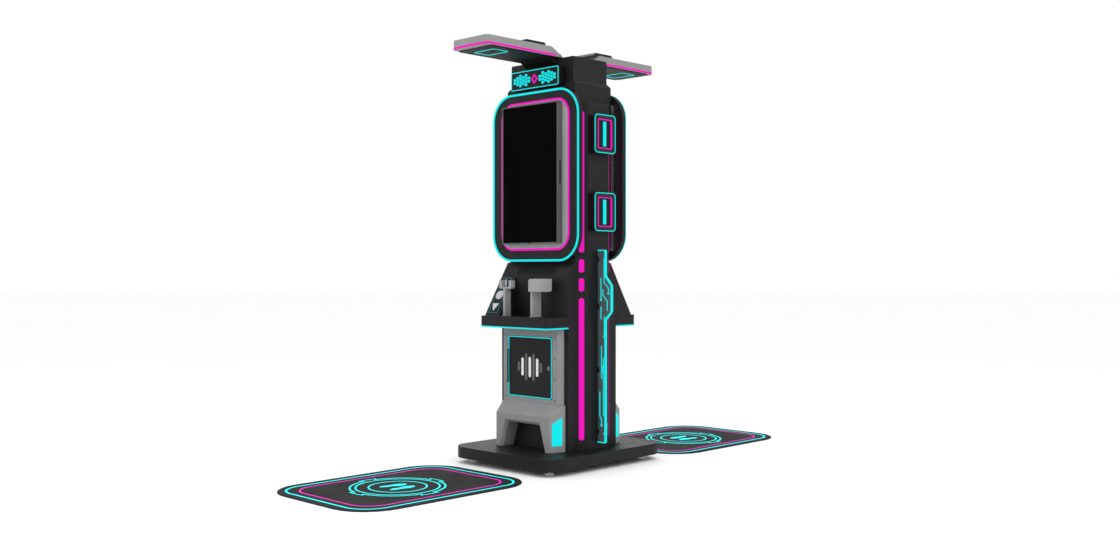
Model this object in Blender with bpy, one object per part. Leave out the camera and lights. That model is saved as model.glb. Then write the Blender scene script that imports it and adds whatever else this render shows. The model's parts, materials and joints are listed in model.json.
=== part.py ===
"""Double-sided dance rhythm machine: a screen tower for two players, back to back.

The front player stands on the mat at -Y and the rear player on the mat at +Y.  The rear half is
the front half turned half a turn about the upright axis, so every front piece is built by a
function that takes the side's parent empty.  Units are metres, +Z is up, the floor is z = 0.
"""
import math

import bmesh
import bpy
from mathutils import Matrix, Vector

# ---- fits and walls ---------------------------------------------------------------------------
GAP = 0.0003            # between two pieces that touch
SHEET = 0.002           # folded sheet metal
MOULD = 0.004           # moulded or cast covers
CORNER_STEPS = 6        # facets in a rounded corner

# ---- plinth and feet --------------------------------------------------------------------------
FOOT_HEIGHT = 0.0387
FOOT_RADIUS = 0.030
FOOT_PAD_THICK = 0.014
FOOT_STEM_RADIUS = 0.008
FOOT_INSET = 0.125      # foot centre to the plinth's side
PLINTH_HALF_X = 0.489
PLINTH_HALF_Y = 0.583
PLINTH_THICK = 0.0773
PLINTH_CORNER = 0.133
PLINTH_WALL = 0.003

# ---- column -----------------------------------------------------------------------------------
CORE_HALF_X = 0.381
CORE_HALF_Y = 0.1675
CORE_CHAMFER = 0.0635
CORE_TOP = 2.480

# ---- neck, arms and canopies ------------------------------------------------------------------
STEP_HALF_X = 0.332
STEP_HALF_Y = 0.180
STEP_TOP = 2.601
NECK_HALF_X = 0.303
NECK_HALF_Y = 0.168
NECK_RISE = 0.028       # height of the bevel between step and neck
NECK_TOP = 2.787
ARM_HALF_X = 0.145
ARM_FOOT_Z = 2.742
ARM_BEND_Y = 0.248
ARM_REACH = 0.760
CANOPY_HALF_X = 0.174
CANOPY_REACH = 0.832
CANOPY_TIP = 0.130
CANOPY_SLANT = 0.112
CANOPY_BOTTOM = 2.792
CANOPY_TOP = 2.855
CANOPY_CORNER = 0.030
CANOPY_SKIN = 0.004
ARM_THICK = 0.030
ARM_WALL = 0.004
DRIVER_BOX_HALF_X = 0.115
DRIVER_BOX_NEAR = 0.247
DRIVER_BOX_FAR = 0.385
DRIVER_BOX_HEIGHT = 0.029

# ---- sign -------------------------------------------------------------------------------------
SIGN_HALF_X = 0.234
SIGN_BOTTOM = 2.590
SIGN_TOP = 2.722
SIGN_CORNER = 0.014
SIGN_FACE = 0.237       # its face, from the middle plane

# ---- screen pod -------------------------------------------------------------------------------
POD_HALF_X = 0.421
POD_BOTTOM = 1.397
POD_TOP = 2.568
POD_CORNER = 0.185
POD_FACE = 0.235
POD_BACK = 0.200
POD_WALL = 0.003
FRAME_MARGIN = 0.075    # screen frame inside the pod's outline
FRAME_BAR = 0.045
SCREEN_HALF_X = 0.2645  # 43 inch display, upright
SCREEN_HALF_Z = 0.4705
SCREEN_CENTRE_Z = 1.996
BEZEL = 0.008
MONITOR_FACE = 0.2860
PANEL_THICK = 0.003
MONITOR_LIP = 0.0015    # bezel proud of the panel

# ---- cabinet under the pod --------------------------------------------------------------------
CABINET_HALF_X = 0.326
CABINET_FACE = 0.2405
SLOPE_TOP_Y = 0.184
SLOPE_TOP_Z = 1.390
SLOPE_FOOT_Y = 0.403
TRAY_TOP = 1.022
SERVICE_HALF_X = 0.196
SERVICE_BOTTOM = 0.484
SERVICE_TOP = 0.861
WIRING_INSET = 0.021      # wiring opening inside the fin's width
WIRING_BOTTOM = 1.180
WIRING_TOP = 1.278

# ---- door and its housing ---------------------------------------------------------------------
HOUSING_FRONT_HALF_X = 0.2655
HOUSING_REAR_HALF_X = 0.288
HOUSING_FACE = 0.282
HOUSING_BOTTOM = 0.432
DOOR_HALF_X = 0.214
DOOR_BOTTOM = 0.463
DOOR_TOP = 0.881
DOOR_THICK = 0.018
DOOR_PLAY = 0.002
HINGE_RADIUS = 0.004
HINGE_PIN_RADIUS = 0.0018
HINGE_PLAY = 0.0005
HINGE_KNUCKLE = 0.060   # length of a fixed knuckle
HINGE_LEAF = 0.0015
HINGE_LEAF_WIDE = 0.020
HINGE_END = 0.030       # hinge ends inside the door's height
LOCK_RADIUS = 0.011
LOCK_PLAY = 0.0006
LOCK_PROUD = 0.003
STRIKE_THICK = 0.003    # wall the turned cam reaches behind
LOCK_EDGE = 0.030       # lock centre to the door's free edge
CAM_LONG = 0.036
CAM_HALF_WIDE = 0.007
CAM_THICK = 0.003
COMPUTER_HALF_X = 0.140
COMPUTER_THICK = 0.042
COMPUTER_BOTTOM = 0.540
COMPUTER_TALL = 0.230

# ---- kick housing ----------------------------------------------------------------------------
KICK_FACE = 0.357
KICK_FRONT_HALF_X = 0.258
KICK_REAR_HALF_X = 0.299
KICK_SHOULDER_Z = 0.350
KICK_MOUTH_TOP_HALF = 0.152
KICK_MOUTH_FOOT_HALF = 0.207
KICK_MOUTH_TOP = 0.293
KICK_MOUTH_BEVEL = 0.018
KICK_WALL = 0.003

# ---- tray and control fin ---------------------------------------------------------------------
TRAY_HALF_X = 0.327
TRAY_FACE = 0.446
TRAY_BOTTOM = 0.952
TRAY_CORNER = 0.020
TRAY_VENT_INSET = 0.008
TRAY_VENT_WIDE = 0.008
FIN_INNER_X = 0.181
PLATE_HALF_X = 0.048
PLATE_HALF_LONG = 0.143
PLATE_CENTRE_X = 0.254
PLATE_CENTRE_Z = 1.160
PLATE_THICK = 0.004
PLATE_CORNER = 0.008
WINDOW_HALF_X = 0.041
WINDOW_HALF_LONG = 0.1385

# ---- buttons ----------------------------------------------------------------------------------
BUTTON_PITCH = 0.098
BUTTON_RADIUS = 0.034
ARROW_RADIUS = 0.030
BUTTON_PROUD = 0.007
BUTTON_PLAY = 0.0008
BUTTON_FLANGE = 0.0025
BUTTON_FLANGE_THICK = 0.003
BUTTON_SEAT = 0.0012    # flange under the plate
STEM_RADIUS = 0.005
STEM_LONG = 0.009
SWITCH_PLAY = 0.005
SWITCH_HALF = 0.010
SWITCH_TALL = 0.009
BOARD_THICK = 0.0022
BOARD_HALF_X = 0.036
BOARD_HALF_LONG = 0.126
BOARD_LIP = 0.003

# ---- stands on the tray -----------------------------------------------------------------------
READER_X = 0.105        # left edge of the head
READER_WIDE = 0.104
READER_FACE = 0.400
READER_DEEP = 0.123
READER_BOTTOM = 1.192
READER_TALL = 0.087
READER_ROUND = 0.018
READER_POST_WIDE = 0.020
READER_POST_DEEP = 0.085
READER_POST_INSET = 0.020
CRADLE_X = -0.155
CRADLE_HALF_X = 0.062
CRADLE_FACE = 0.370
CRADLE_DEEP = 0.036
CRADLE_BOTTOM = 1.209
CRADLE_TALL = 0.058
CRADLE_PRONG = 0.028
CRADLE_FLOOR = 0.012
CRADLE_ROUND = 0.014
CRADLE_POST_WIDE = 0.020
CRADLE_POST_DEEP = 0.056

# ---- speakers and light fins ------------------------------------------------------------------
SPEAKER_FACE_X = 0.441
SPEAKER_HALF_Y = 0.1045
SPEAKER_CORNER = 0.028
SPEAKER_HALF_Z = 0.1305
SPEAKER_UPPER_Z = 2.259
SPEAKER_LOWER_Z = 1.731
SPEAKER_RECESS_HALF_Y = 0.070
SPEAKER_RECESS_HALF_Z = 0.100
SPEAKER_RECESS_DEEP = 0.012
LIGHT_FIN_THICK = 0.018
LIGHT_FIN_BOTTOM = 0.166
LIGHT_FIN_TOP = 1.474
LIGHT_FIN_EDGE_X = 0.448
LIGHT_FIN_BULGE_X = 0.504
LIGHT_FIN_BULGE = (1.000, 1.054, 1.236, 1.297)
LIGHT_FIN_CORNER = 0.012

# ---- mats and power supply --------------------------------------------------------------------
MAT_HALF_X = 0.514
MAT_NEAR = 0.699
MAT_FAR = 2.064
MAT_THICK = 0.005
MAT_CORNER = 0.26
SUPPLY_CENTRE_X = -0.150
SUPPLY_HALF_X = 0.110
SUPPLY_HALF_Y = 0.060
SUPPLY_TALL = 0.070

PLINTH_TOP = FOOT_HEIGHT + PLINTH_THICK
SLOPE_RUN = (SLOPE_FOOT_Y - SLOPE_TOP_Y) / (SLOPE_TOP_Z - TRAY_TOP)
SLOPE_TILT = math.atan2(SLOPE_TOP_Z - TRAY_TOP, SLOPE_FOOT_Y - SLOPE_TOP_Y)

AXES = {"X": (1, 2, 0), "Y": (0, 2, 1), "Z": (0, 1, 2)}
FINISHES = {
    "body_black": ((0.026, 0.026, 0.027), 0.45, 0.0),
    "housing_grey": ((0.26, 0.26, 0.26), 0.5, 0.0),
    "trim_grey": ((0.38, 0.38, 0.38), 0.45, 0.2),
    "panel_black": ((0.012, 0.012, 0.012), 0.25, 0.0),
    "screen_black": ((0.002, 0.002, 0.002), 0.08, 0.0),
    "button_white": ((0.7, 0.7, 0.7), 0.35, 0.0),
    "smoked_acrylic": ((0.08, 0.11, 0.115), 0.1, 0.0),
    "steel": ((0.55, 0.55, 0.56), 0.3, 1.0),
    "foot_grey": ((0.6, 0.6, 0.6), 0.5, 0.0),
    "mat_rubber": ((0.024, 0.024, 0.025), 0.8, 0.0),
    "electronics": ((0.05, 0.09, 0.06), 0.6, 0.0),
}


def clear_scene():
    for item in list(bpy.data.objects):
        bpy.data.objects.remove(item, do_unlink=True)


def make_materials():
    for name, (colour, roughness, metallic) in FINISHES.items():
        material = bpy.data.materials.new(name)
        material.use_nodes = True
        shader = material.node_tree.nodes["Principled BSDF"]
        shader.inputs["Base Color"].default_value = (*colour, 1.0)
        shader.inputs["Roughness"].default_value = roughness
        shader.inputs["Metallic"].default_value = metallic


def make_empty(name, parent=None, location=(0, 0, 0), rotation=(0, 0, 0)):
    empty = bpy.data.objects.new(name, None)
    empty.location = location
    empty.rotation_euler = rotation
    empty.parent = parent
    bpy.context.scene.collection.objects.link(empty)
    return empty


def add_object(name, bm, material, parent=None, location=(0, 0, 0), smooth=False):
    """Turn a bmesh into a scene object; its points are relative to location."""
    mesh = bpy.data.meshes.new(name)
    bm.to_mesh(mesh)
    bm.free()
    if smooth:
        mesh.shade_smooth()
        mesh.set_sharp_from_angle(angle=math.radians(35))
    item = bpy.data.objects.new(name, mesh)
    item.location = location
    item.parent = parent
    mesh.materials.append(bpy.data.materials[material])
    bpy.context.scene.collection.objects.link(item)
    return item


def combine(item, bm, operation):
    """Cut a bmesh out of an object, or join it on, with a live exact Boolean."""
    helper_name = f"{item.name}_{operation.lower()}_{len(item.modifiers) + 1}"
    helper = add_object(helper_name, bm, item.data.materials[0].name, item.parent, item.location)
    helper.hide_render = True
    helper.display_type = "WIRE"
    modifier = item.modifiers.new(helper_name, "BOOLEAN")
    modifier.operation = operation
    modifier.solver = "EXACT"
    modifier.object = helper


def cut(item, bm):
    combine(item, bm, "DIFFERENCE")


def join(item, bm):
    combine(item, bm, "UNION")


def rounded_outline(corners):
    """Outline through (a, b, radius) corners, with an arc in place of each rounded corner."""
    outline = []
    for index, (a, b, radius) in enumerate(corners):
        corner = Vector((a, b))
        if radius == 0:
            outline.append(corner)
            continue
        before = (Vector(corners[index - 1][:2]) - corner).normalized()
        after = (Vector(corners[(index + 1) % len(corners)][:2]) - corner).normalized()
        half_angle = before.angle(after) / 2
        centre = corner + (before + after).normalized() * radius / math.sin(half_angle)
        start = corner + before * radius / math.tan(half_angle) - centre
        turn = math.pi - 2 * half_angle
        if before.x * after.y - before.y * after.x > 0:
            turn = -turn
        for step in range(CORNER_STEPS + 1):
            outline.append(centre + Matrix.Rotation(turn * step / CORNER_STEPS, 2) @ start)
    return outline


def rounded_rectangle(a0, a1, b0, b1, radius):
    return rounded_outline([(a0, b0, radius), (a1, b0, radius), (a1, b1, radius), (a0, b1, radius)])


def circle_outline(radius, sides, a=0.0, b=0.0):
    turns = [2 * math.pi * step / sides for step in range(sides)]
    return [(a + radius * math.cos(turn), b + radius * math.sin(turn)) for turn in turns]


def prism(outline, low, high, axis):
    """A closed solid: the outline, drawn in the plane across axis, extruded along it."""
    a, b, along = AXES[axis]
    bm = bmesh.new()
    ring = []
    for point in outline:
        place = [0.0, 0.0, 0.0]
        place[a] = point[0]
        place[b] = point[1]
        place[along] = low
        ring.append(bm.verts.new(place))
    face = bm.faces.new(ring)
    grown = bmesh.ops.extrude_face_region(bm, geom=[face])["geom"]
    travel = [0.0, 0.0, 0.0]
    travel[along] = high - low
    bmesh.ops.translate(bm, verts=[v for v in grown if isinstance(v, bmesh.types.BMVert)], vec=travel)
    bmesh.ops.recalc_face_normals(bm, faces=bm.faces[:])
    return bm


def block(x0, x1, y0, y1, z0, z1):
    return prism([(x0, y0), (x1, y0), (x1, y1), (x0, y1)], z0, z1, "Z")


def hull(points):
    """The convex solid around a few corner points."""
    bm = bmesh.new()
    for point in points:
        bm.verts.new(point)
    bmesh.ops.convex_hull(bm, input=bm.verts[:])
    bmesh.ops.recalc_face_normals(bm, faces=bm.faces[:])
    return bm


def slope_y(z):
    """Where the console's sloped front stands at height z (front side, so negative)."""
    return -SLOPE_TOP_Y - SLOPE_RUN * (SLOPE_TOP_Z - z)


def chamfered_rectangle(half_x, half_y, chamfer):
    return [
        (half_x - chamfer, -half_y), (half_x, -half_y + chamfer),
        (half_x, half_y - chamfer), (half_x - chamfer, half_y),
        (-half_x + chamfer, half_y), (-half_x, half_y - chamfer),
        (-half_x, -half_y + chamfer), (-half_x + chamfer, -half_y),
    ]


# ---- pieces on the middle axis ----------------------------------------------------------------
def build_plinth():
    outer = rounded_rectangle(
        -PLINTH_HALF_X, PLINTH_HALF_X, -PLINTH_HALF_Y, PLINTH_HALF_Y, PLINTH_CORNER)
    plinth = add_object("plinth", prism(outer, FOOT_HEIGHT, PLINTH_TOP, "Z"), "body_black")
    inside_x = PLINTH_HALF_X - PLINTH_WALL
    inside_y = PLINTH_HALF_Y - PLINTH_WALL
    inner = rounded_rectangle(
        -inside_x, inside_x, -inside_y, inside_y, PLINTH_CORNER - PLINTH_WALL)
    below = FOOT_HEIGHT - PLINTH_WALL
    cut(plinth, prism(inner, below, PLINTH_TOP - PLINTH_WALL, "Z"))


def build_feet():
    stem_top = PLINTH_TOP - PLINTH_WALL - GAP
    for y_name, y_sign in (("front", -1), ("rear", 1)):
        for x_name, x_sign in (("left", -1), ("right", 1)):
            place = (
                x_sign * (PLINTH_HALF_X - FOOT_INSET), y_sign * (PLINTH_HALF_Y - FOOT_INSET), 0)
            pad = prism(circle_outline(FOOT_RADIUS, 24), 0, FOOT_PAD_THICK, "Z")
            name = f"{y_name}_{x_name}_foot"
            foot = add_object(name, pad, "foot_grey", None, place, smooth=True)
            stem = circle_outline(FOOT_STEM_RADIUS, 12)
            join(foot, prism(stem, FOOT_PAD_THICK / 2, stem_top, "Z"))


def build_column():
    outer = chamfered_rectangle(CORE_HALF_X, CORE_HALF_Y, CORE_CHAMFER)
    foot = PLINTH_TOP + GAP
    column = add_object("column", prism(outer, foot, CORE_TOP, "Z"), "body_black")
    inner_chamfer = CORE_CHAMFER - SHEET * (2 - math.sqrt(2))
    inner = chamfered_rectangle(CORE_HALF_X - SHEET, CORE_HALF_Y - SHEET, inner_chamfer)
    cut(column, prism(inner, foot - SHEET, CORE_TOP - SHEET, "Z"))


def build_neck():
    foot = CORE_TOP + GAP
    step = block(-STEP_HALF_X, STEP_HALF_X, -STEP_HALF_Y, STEP_HALF_Y, foot, STEP_TOP)
    neck = add_object("neck", step, "body_black")
    bevel_top = STEP_TOP + NECK_RISE
    corners = []
    for x_sign in (-1, 1):
        for y_sign in (-1, 1):
            corners.append((x_sign * STEP_HALF_X, y_sign * STEP_HALF_Y, STEP_TOP - SHEET))
            corners.append((x_sign * STEP_HALF_X, y_sign * STEP_HALF_Y, STEP_TOP))
            corners.append((x_sign * NECK_HALF_X, y_sign * NECK_HALF_Y, bevel_top))
    join(neck, hull(corners))
    join(neck, block(-NECK_HALF_X, NECK_HALF_X, -NECK_HALF_Y, NECK_HALF_Y,
                     bevel_top - SHEET, NECK_TOP - SHEET))
    arm_bottom = CANOPY_BOTTOM
    for sign in (-1, 1):
        profile = [
            (sign * NECK_HALF_Y / 2, ARM_FOOT_Z - SHEET),
            (sign * NECK_HALF_Y, ARM_FOOT_Z),
            (sign * ARM_BEND_Y, arm_bottom),
            (sign * ARM_REACH, arm_bottom),
            (sign * ARM_REACH, arm_bottom + ARM_THICK),
            (sign * CANOPY_TIP, arm_bottom + ARM_THICK),
            (sign * NECK_HALF_Y / 2, NECK_TOP - MOULD),
        ]
        join(neck, prism(profile, -ARM_HALF_X, ARM_HALF_X, "X"))
        inside_x = ARM_HALF_X - ARM_WALL
        near = sign * (ARM_BEND_Y + ARM_WALL)
        far = sign * (ARM_REACH - ARM_WALL)
        cut(neck, block(-inside_x, inside_x, min(near, far), max(near, far),
                        arm_bottom + ARM_WALL, CANOPY_TOP))
    inside_x = NECK_HALF_X - ARM_WALL
    inside_y = NECK_HALF_Y - ARM_WALL
    cut(neck, block(-inside_x, inside_x, -inside_y, inside_y, CORE_TOP - SHEET, NECK_TOP - 2 * ARM_WALL))


def build_power():
    left = SUPPLY_CENTRE_X - SUPPLY_HALF_X
    right = SUPPLY_CENTRE_X + SUPPLY_HALF_X
    foot = PLINTH_TOP + GAP
    case = block(left, right, -SUPPLY_HALF_Y, SUPPLY_HALF_Y, foot, foot + SUPPLY_TALL)
    add_object("power_supply", case, "electronics")


def build_mats():
    for name, sign in (("front_mat", -1), ("rear_mat", 1)):
        low, high = sorted((sign * MAT_NEAR, sign * MAT_FAR))
        outline = rounded_rectangle(-MAT_HALF_X, MAT_HALF_X, low, high, MAT_CORNER)
        add_object(name, prism(outline, 0, MAT_THICK, "Z"), "mat_rubber")


def build_speakers():
    for side_name, sign in (("right", 1), ("left", -1)):
        for level, height in (("upper", SPEAKER_UPPER_Z), ("lower", SPEAKER_LOWER_Z)):
            outline = rounded_rectangle(
                -SPEAKER_HALF_Y, SPEAKER_HALF_Y, height - SPEAKER_HALF_Z, height + SPEAKER_HALF_Z,
                SPEAKER_CORNER)
            back = sign * (CORE_HALF_X + GAP)
            face = sign * SPEAKER_FACE_X
            box = prism(outline, min(back, face), max(back, face), "X")
            speaker = add_object(f"{side_name}_{level}_speaker", box, "panel_black")
            recess = rounded_rectangle(
                -SPEAKER_RECESS_HALF_Y, SPEAKER_RECESS_HALF_Y, height - SPEAKER_RECESS_HALF_Z,
                height + SPEAKER_RECESS_HALF_Z, SPEAKER_CORNER / 2)
            floor = face - sign * SPEAKER_RECESS_DEEP
            proud = face + sign * SPEAKER_RECESS_DEEP
            cut(speaker, prism(recess, min(floor, proud), max(floor, proud), "X"))


def build_light_fins():
    low_out, low_in, high_in, high_out = LIGHT_FIN_BULGE
    for name, sign in (("right_light_fin", 1), ("left_light_fin", -1)):
        root = CORE_HALF_X + GAP
        corners = [
            (root, LIGHT_FIN_BOTTOM, 0),
            (LIGHT_FIN_EDGE_X, LIGHT_FIN_BOTTOM, LIGHT_FIN_CORNER),
            (LIGHT_FIN_EDGE_X, low_out, LIGHT_FIN_CORNER),
            (LIGHT_FIN_BULGE_X, low_in, LIGHT_FIN_CORNER),
            (LIGHT_FIN_BULGE_X, high_in, LIGHT_FIN_CORNER),
            (LIGHT_FIN_EDGE_X, high_out, LIGHT_FIN_CORNER),
            (LIGHT_FIN_EDGE_X, LIGHT_FIN_TOP, LIGHT_FIN_CORNER),
            (root, LIGHT_FIN_TOP, 0),
        ]
        outline = [(sign * point[0], point[1]) for point in rounded_outline(corners)]
        plate = prism(outline, -LIGHT_FIN_THICK / 2, LIGHT_FIN_THICK / 2, "Y")
        add_object(name, plate, "smoked_acrylic")


# ---- pieces of one player's side --------------------------------------------------------------
def build_screen(side, parent):
    outline = rounded_rectangle(-POD_HALF_X, POD_HALF_X, POD_BOTTOM, POD_TOP, POD_CORNER)
    pod = add_object(
        f"{side}_screen_surround", prism(outline, -POD_FACE, -POD_BACK, "Y"), "body_black", parent)
    inner = rounded_rectangle(
        -POD_HALF_X + POD_WALL, POD_HALF_X - POD_WALL, POD_BOTTOM + POD_WALL, POD_TOP - POD_WALL,
        POD_CORNER - POD_WALL)
    cut(pod, prism(inner, -POD_FACE + POD_WALL, -POD_BACK + POD_WALL, "Y"))

    half_x = SCREEN_HALF_X + BEZEL
    low = SCREEN_CENTRE_Z - SCREEN_HALF_Z - BEZEL
    high = SCREEN_CENTRE_Z + SCREEN_HALF_Z + BEZEL
    hole = 2 * GAP
    cut(pod, block(-half_x - hole, half_x + hole, -POD_FACE - POD_WALL, -POD_FACE + 2 * POD_WALL,
                   low - hole, high + hole))

    frame_back = -CORE_HALF_Y - GAP
    frame_face = -POD_FACE + POD_WALL + GAP
    frame_x = POD_HALF_X - FRAME_MARGIN
    frame_low = POD_BOTTOM + FRAME_MARGIN
    frame_high = CORE_TOP
    frame = add_object(
        f"{side}_screen_frame",
        block(-frame_x, frame_x, -POD_BACK, frame_back, frame_low, frame_high), "steel", parent)
    cut(frame, block(-frame_x + FRAME_BAR, frame_x - FRAME_BAR, -POD_FACE, 0,
                     frame_low + FRAME_BAR, frame_high - FRAME_BAR))
    lug = FRAME_BAR / 2
    for x_sign in (-1, 1):
        inner_x = x_sign * (frame_x - lug)
        outer_x = x_sign * frame_x
        join(frame, block(min(inner_x, outer_x), max(inner_x, outer_x), frame_face, frame_back,
                          frame_low + POD_CORNER, frame_high - POD_CORNER))

    monitor_back = -POD_BACK - GAP
    monitor = add_object(
        f"{side}_monitor", block(-half_x, half_x, -MONITOR_FACE, monitor_back, low, high),
        "panel_black", parent)
    pocket_face = -MONITOR_FACE + MONITOR_LIP + PANEL_THICK + GAP
    cut(monitor, block(-SCREEN_HALF_X, SCREEN_HALF_X, -MONITOR_FACE - BEZEL, pocket_face,
                       SCREEN_CENTRE_Z - SCREEN_HALF_Z, SCREEN_CENTRE_Z + SCREEN_HALF_Z))
    back_wall = 5 * SHEET
    cut(monitor, block(-half_x + BEZEL, half_x - BEZEL, pocket_face + back_wall, 0,
                       low + BEZEL, high - BEZEL))
    glass_x = SCREEN_HALF_X - GAP
    glass_z = SCREEN_HALF_Z - GAP
    glass_face = -MONITOR_FACE + MONITOR_LIP
    add_object(
        f"{side}_screen",
        block(-glass_x, glass_x, glass_face, glass_face + PANEL_THICK,
              SCREEN_CENTRE_Z - glass_z, SCREEN_CENTRE_Z + glass_z),
        "screen_black", parent)


def build_sign(side, parent):
    outline = rounded_rectangle(-SIGN_HALF_X, SIGN_HALF_X, SIGN_BOTTOM, SIGN_TOP, SIGN_CORNER)
    sign = add_object(
        f"{side}_sign", prism(outline, -SIGN_FACE, -STEP_HALF_Y - GAP, "Y"), "panel_black", parent)
    inner = rounded_rectangle(
        -SIGN_HALF_X + MOULD, SIGN_HALF_X - MOULD, SIGN_BOTTOM + MOULD, SIGN_TOP - MOULD,
        SIGN_CORNER - MOULD)
    cut(sign, prism(inner, -SIGN_FACE + MOULD, 0, "Y"))


def build_canopy(side, parent):
    top_near = CANOPY_TIP + CANOPY_SLANT
    outline = rounded_outline([
        (-CANOPY_HALF_X, -CANOPY_REACH, CANOPY_CORNER), (CANOPY_HALF_X, -CANOPY_REACH, CANOPY_CORNER),
        (CANOPY_HALF_X, -CANOPY_TIP, 0), (-CANOPY_HALF_X, -CANOPY_TIP, 0)])
    canopy = add_object(
        f"{side}_canopy", prism(outline, CANOPY_BOTTOM, CANOPY_TOP, "Z"), "housing_grey", parent)
    beyond = CANOPY_HALF_X + MOULD
    cut(canopy, prism(
        [(-top_near, CANOPY_TOP), (-top_near, CANOPY_TOP + CANOPY_SLANT), (0, CANOPY_TOP + CANOPY_SLANT),
         (0, CANOPY_BOTTOM - MOULD), (-CANOPY_TIP + MOULD, CANOPY_BOTTOM - MOULD),
         (-CANOPY_TIP, CANOPY_BOTTOM)], -beyond, beyond, "X"))
    arm_top = CANOPY_BOTTOM + ARM_THICK + GAP
    channel = ARM_HALF_X + GAP
    cut(canopy, block(-channel, channel, -ARM_REACH - GAP, 0, CANOPY_BOTTOM - MOULD, arm_top))
    inside_x = CANOPY_HALF_X - CANOPY_SKIN
    cut(canopy, block(-inside_x, inside_x, -ARM_REACH - GAP, -top_near - CANOPY_SKIN,
                      CANOPY_BOTTOM + CANOPY_SKIN, CANOPY_TOP - CANOPY_SKIN))
    join(canopy, block(-DRIVER_BOX_HALF_X, DRIVER_BOX_HALF_X, -DRIVER_BOX_FAR, -DRIVER_BOX_NEAR,
                       CANOPY_TOP - CANOPY_SKIN / 2, CANOPY_TOP + DRIVER_BOX_HEIGHT))


def build_cabinet(side, parent):
    foot = PLINTH_TOP + GAP
    back = -CORE_HALF_Y - GAP
    slope_break = SLOPE_TOP_Z - (CABINET_FACE - SLOPE_TOP_Y) / SLOPE_RUN
    profile = [(-CABINET_FACE, foot), (back, foot), (back, SLOPE_TOP_Z),
               (-SLOPE_TOP_Y, SLOPE_TOP_Z), (-CABINET_FACE, slope_break)]
    cabinet = add_object(
        f"{side}_cabinet", prism(profile, -CABINET_HALF_X, CABINET_HALF_X, "X"), "body_black", parent)
    inside_x = CABINET_HALF_X - SHEET
    inside = [
        (-CABINET_FACE + SHEET, foot + SHEET), (0, foot + SHEET), (0, SLOPE_TOP_Z - SHEET),
        (-SLOPE_TOP_Y, SLOPE_TOP_Z - 2 * SHEET), (-CABINET_FACE + SHEET, slope_break - SHEET)]
    cut(cabinet, prism(inside, -inside_x, inside_x, "X"))
    cut(cabinet, block(-SERVICE_HALF_X, SERVICE_HALF_X, -CABINET_FACE - SHEET,
                       -CABINET_FACE + 2 * SHEET, SERVICE_BOTTOM, SERVICE_TOP))
    cut(cabinet, block(-CABINET_HALF_X + WIRING_INSET, -FIN_INNER_X - WIRING_INSET,
                       -CABINET_FACE - SHEET, -CABINET_FACE + 2 * SHEET, WIRING_BOTTOM, WIRING_TOP))
    computer_back = -CORE_HALF_Y - GAP
    add_object(
        f"{side}_computer",
        block(-COMPUTER_HALF_X, COMPUTER_HALF_X, computer_back - COMPUTER_THICK, computer_back,
              COMPUTER_BOTTOM, COMPUTER_BOTTOM + COMPUTER_TALL),
        "electronics", parent)


def housing_plan(face, back, wall):
    """The door housing from above, narrower at its face."""
    front_x = HOUSING_FRONT_HALF_X - wall
    rear_x = HOUSING_REAR_HALF_X - wall
    return [(-front_x, face), (front_x, face), (rear_x, back), (-rear_x, back)]


def build_door_housing(side, parent):
    back = -CABINET_FACE - GAP
    top = TRAY_BOTTOM - GAP
    outer = housing_plan(-HOUSING_FACE, back, 0)
    housing = add_object(
        f"{side}_door_housing", prism(outer, HOUSING_BOTTOM, top, "Z"), "housing_grey", parent)
    inner = housing_plan(-HOUSING_FACE + SHEET, back + GAP, SHEET)
    cut(housing, prism(inner, HOUSING_BOTTOM + SHEET, top - SHEET, "Z"))
    hole_x = DOOR_HALF_X + DOOR_PLAY
    hole_low = DOOR_BOTTOM - DOOR_PLAY
    hole_high = DOOR_TOP + DOOR_PLAY
    recess_floor = -HOUSING_FACE + DOOR_THICK + DOOR_PLAY
    join(housing, block(-hole_x - SHEET, hole_x + SHEET, -HOUSING_FACE + SHEET / 2,
                        recess_floor + STRIKE_THICK, hole_low - SHEET, hole_high + SHEET))
    cut(housing, block(-hole_x, hole_x, -HOUSING_FACE - DOOR_THICK, recess_floor, hole_low, hole_high))
    cut(housing, block(-SERVICE_HALF_X, SERVICE_HALF_X, -HOUSING_FACE, 0, SERVICE_BOTTOM, SERVICE_TOP))


def kick_points(wall):
    """Corners of the kick housing's body, drawn in by a wall all round but open at the back."""
    foot = PLINTH_TOP + GAP + wall
    back = -CABINET_FACE - GAP
    behind = 0 if wall else back
    top = HOUSING_BOTTOM - GAP - wall
    rear_shoulder = KICK_SHOULDER_Z + KICK_FACE - HOUSING_FACE
    points = []
    for sign in (-1, 1):
        front_x = sign * (KICK_FRONT_HALF_X - wall)
        rear_x = sign * (KICK_REAR_HALF_X - wall)
        top_front_x = sign * (HOUSING_FRONT_HALF_X - wall)
        top_rear_x = sign * (HOUSING_REAR_HALF_X - wall)
        points += [
            (front_x, -KICK_FACE + wall, foot), (front_x, -KICK_FACE + wall, KICK_SHOULDER_Z - wall / 2),
            (rear_x, behind, foot), (rear_x, behind, rear_shoulder - wall),
            (top_front_x, -HOUSING_FACE + wall, top), (top_rear_x, behind, top)]
    return points


def mouth_corners(grow):
    foot = PLINTH_TOP + GAP - MOULD
    return [
        (-KICK_MOUTH_FOOT_HALF - grow, foot), (KICK_MOUTH_FOOT_HALF + grow, foot),
        (KICK_MOUTH_TOP_HALF + grow, KICK_MOUTH_TOP + grow),
        (-KICK_MOUTH_TOP_HALF - grow, KICK_MOUTH_TOP + grow)]


def mouth_taper(front_y, front_grow, back_y, back_grow):
    """The toe space's outline drawn at two depths and joined, wider at the front."""
    front = [(x, front_y, z) for x, z in mouth_corners(front_grow)]
    back = [(x, back_y, z) for x, z in mouth_corners(back_grow)]
    return hull(front + back)


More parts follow.
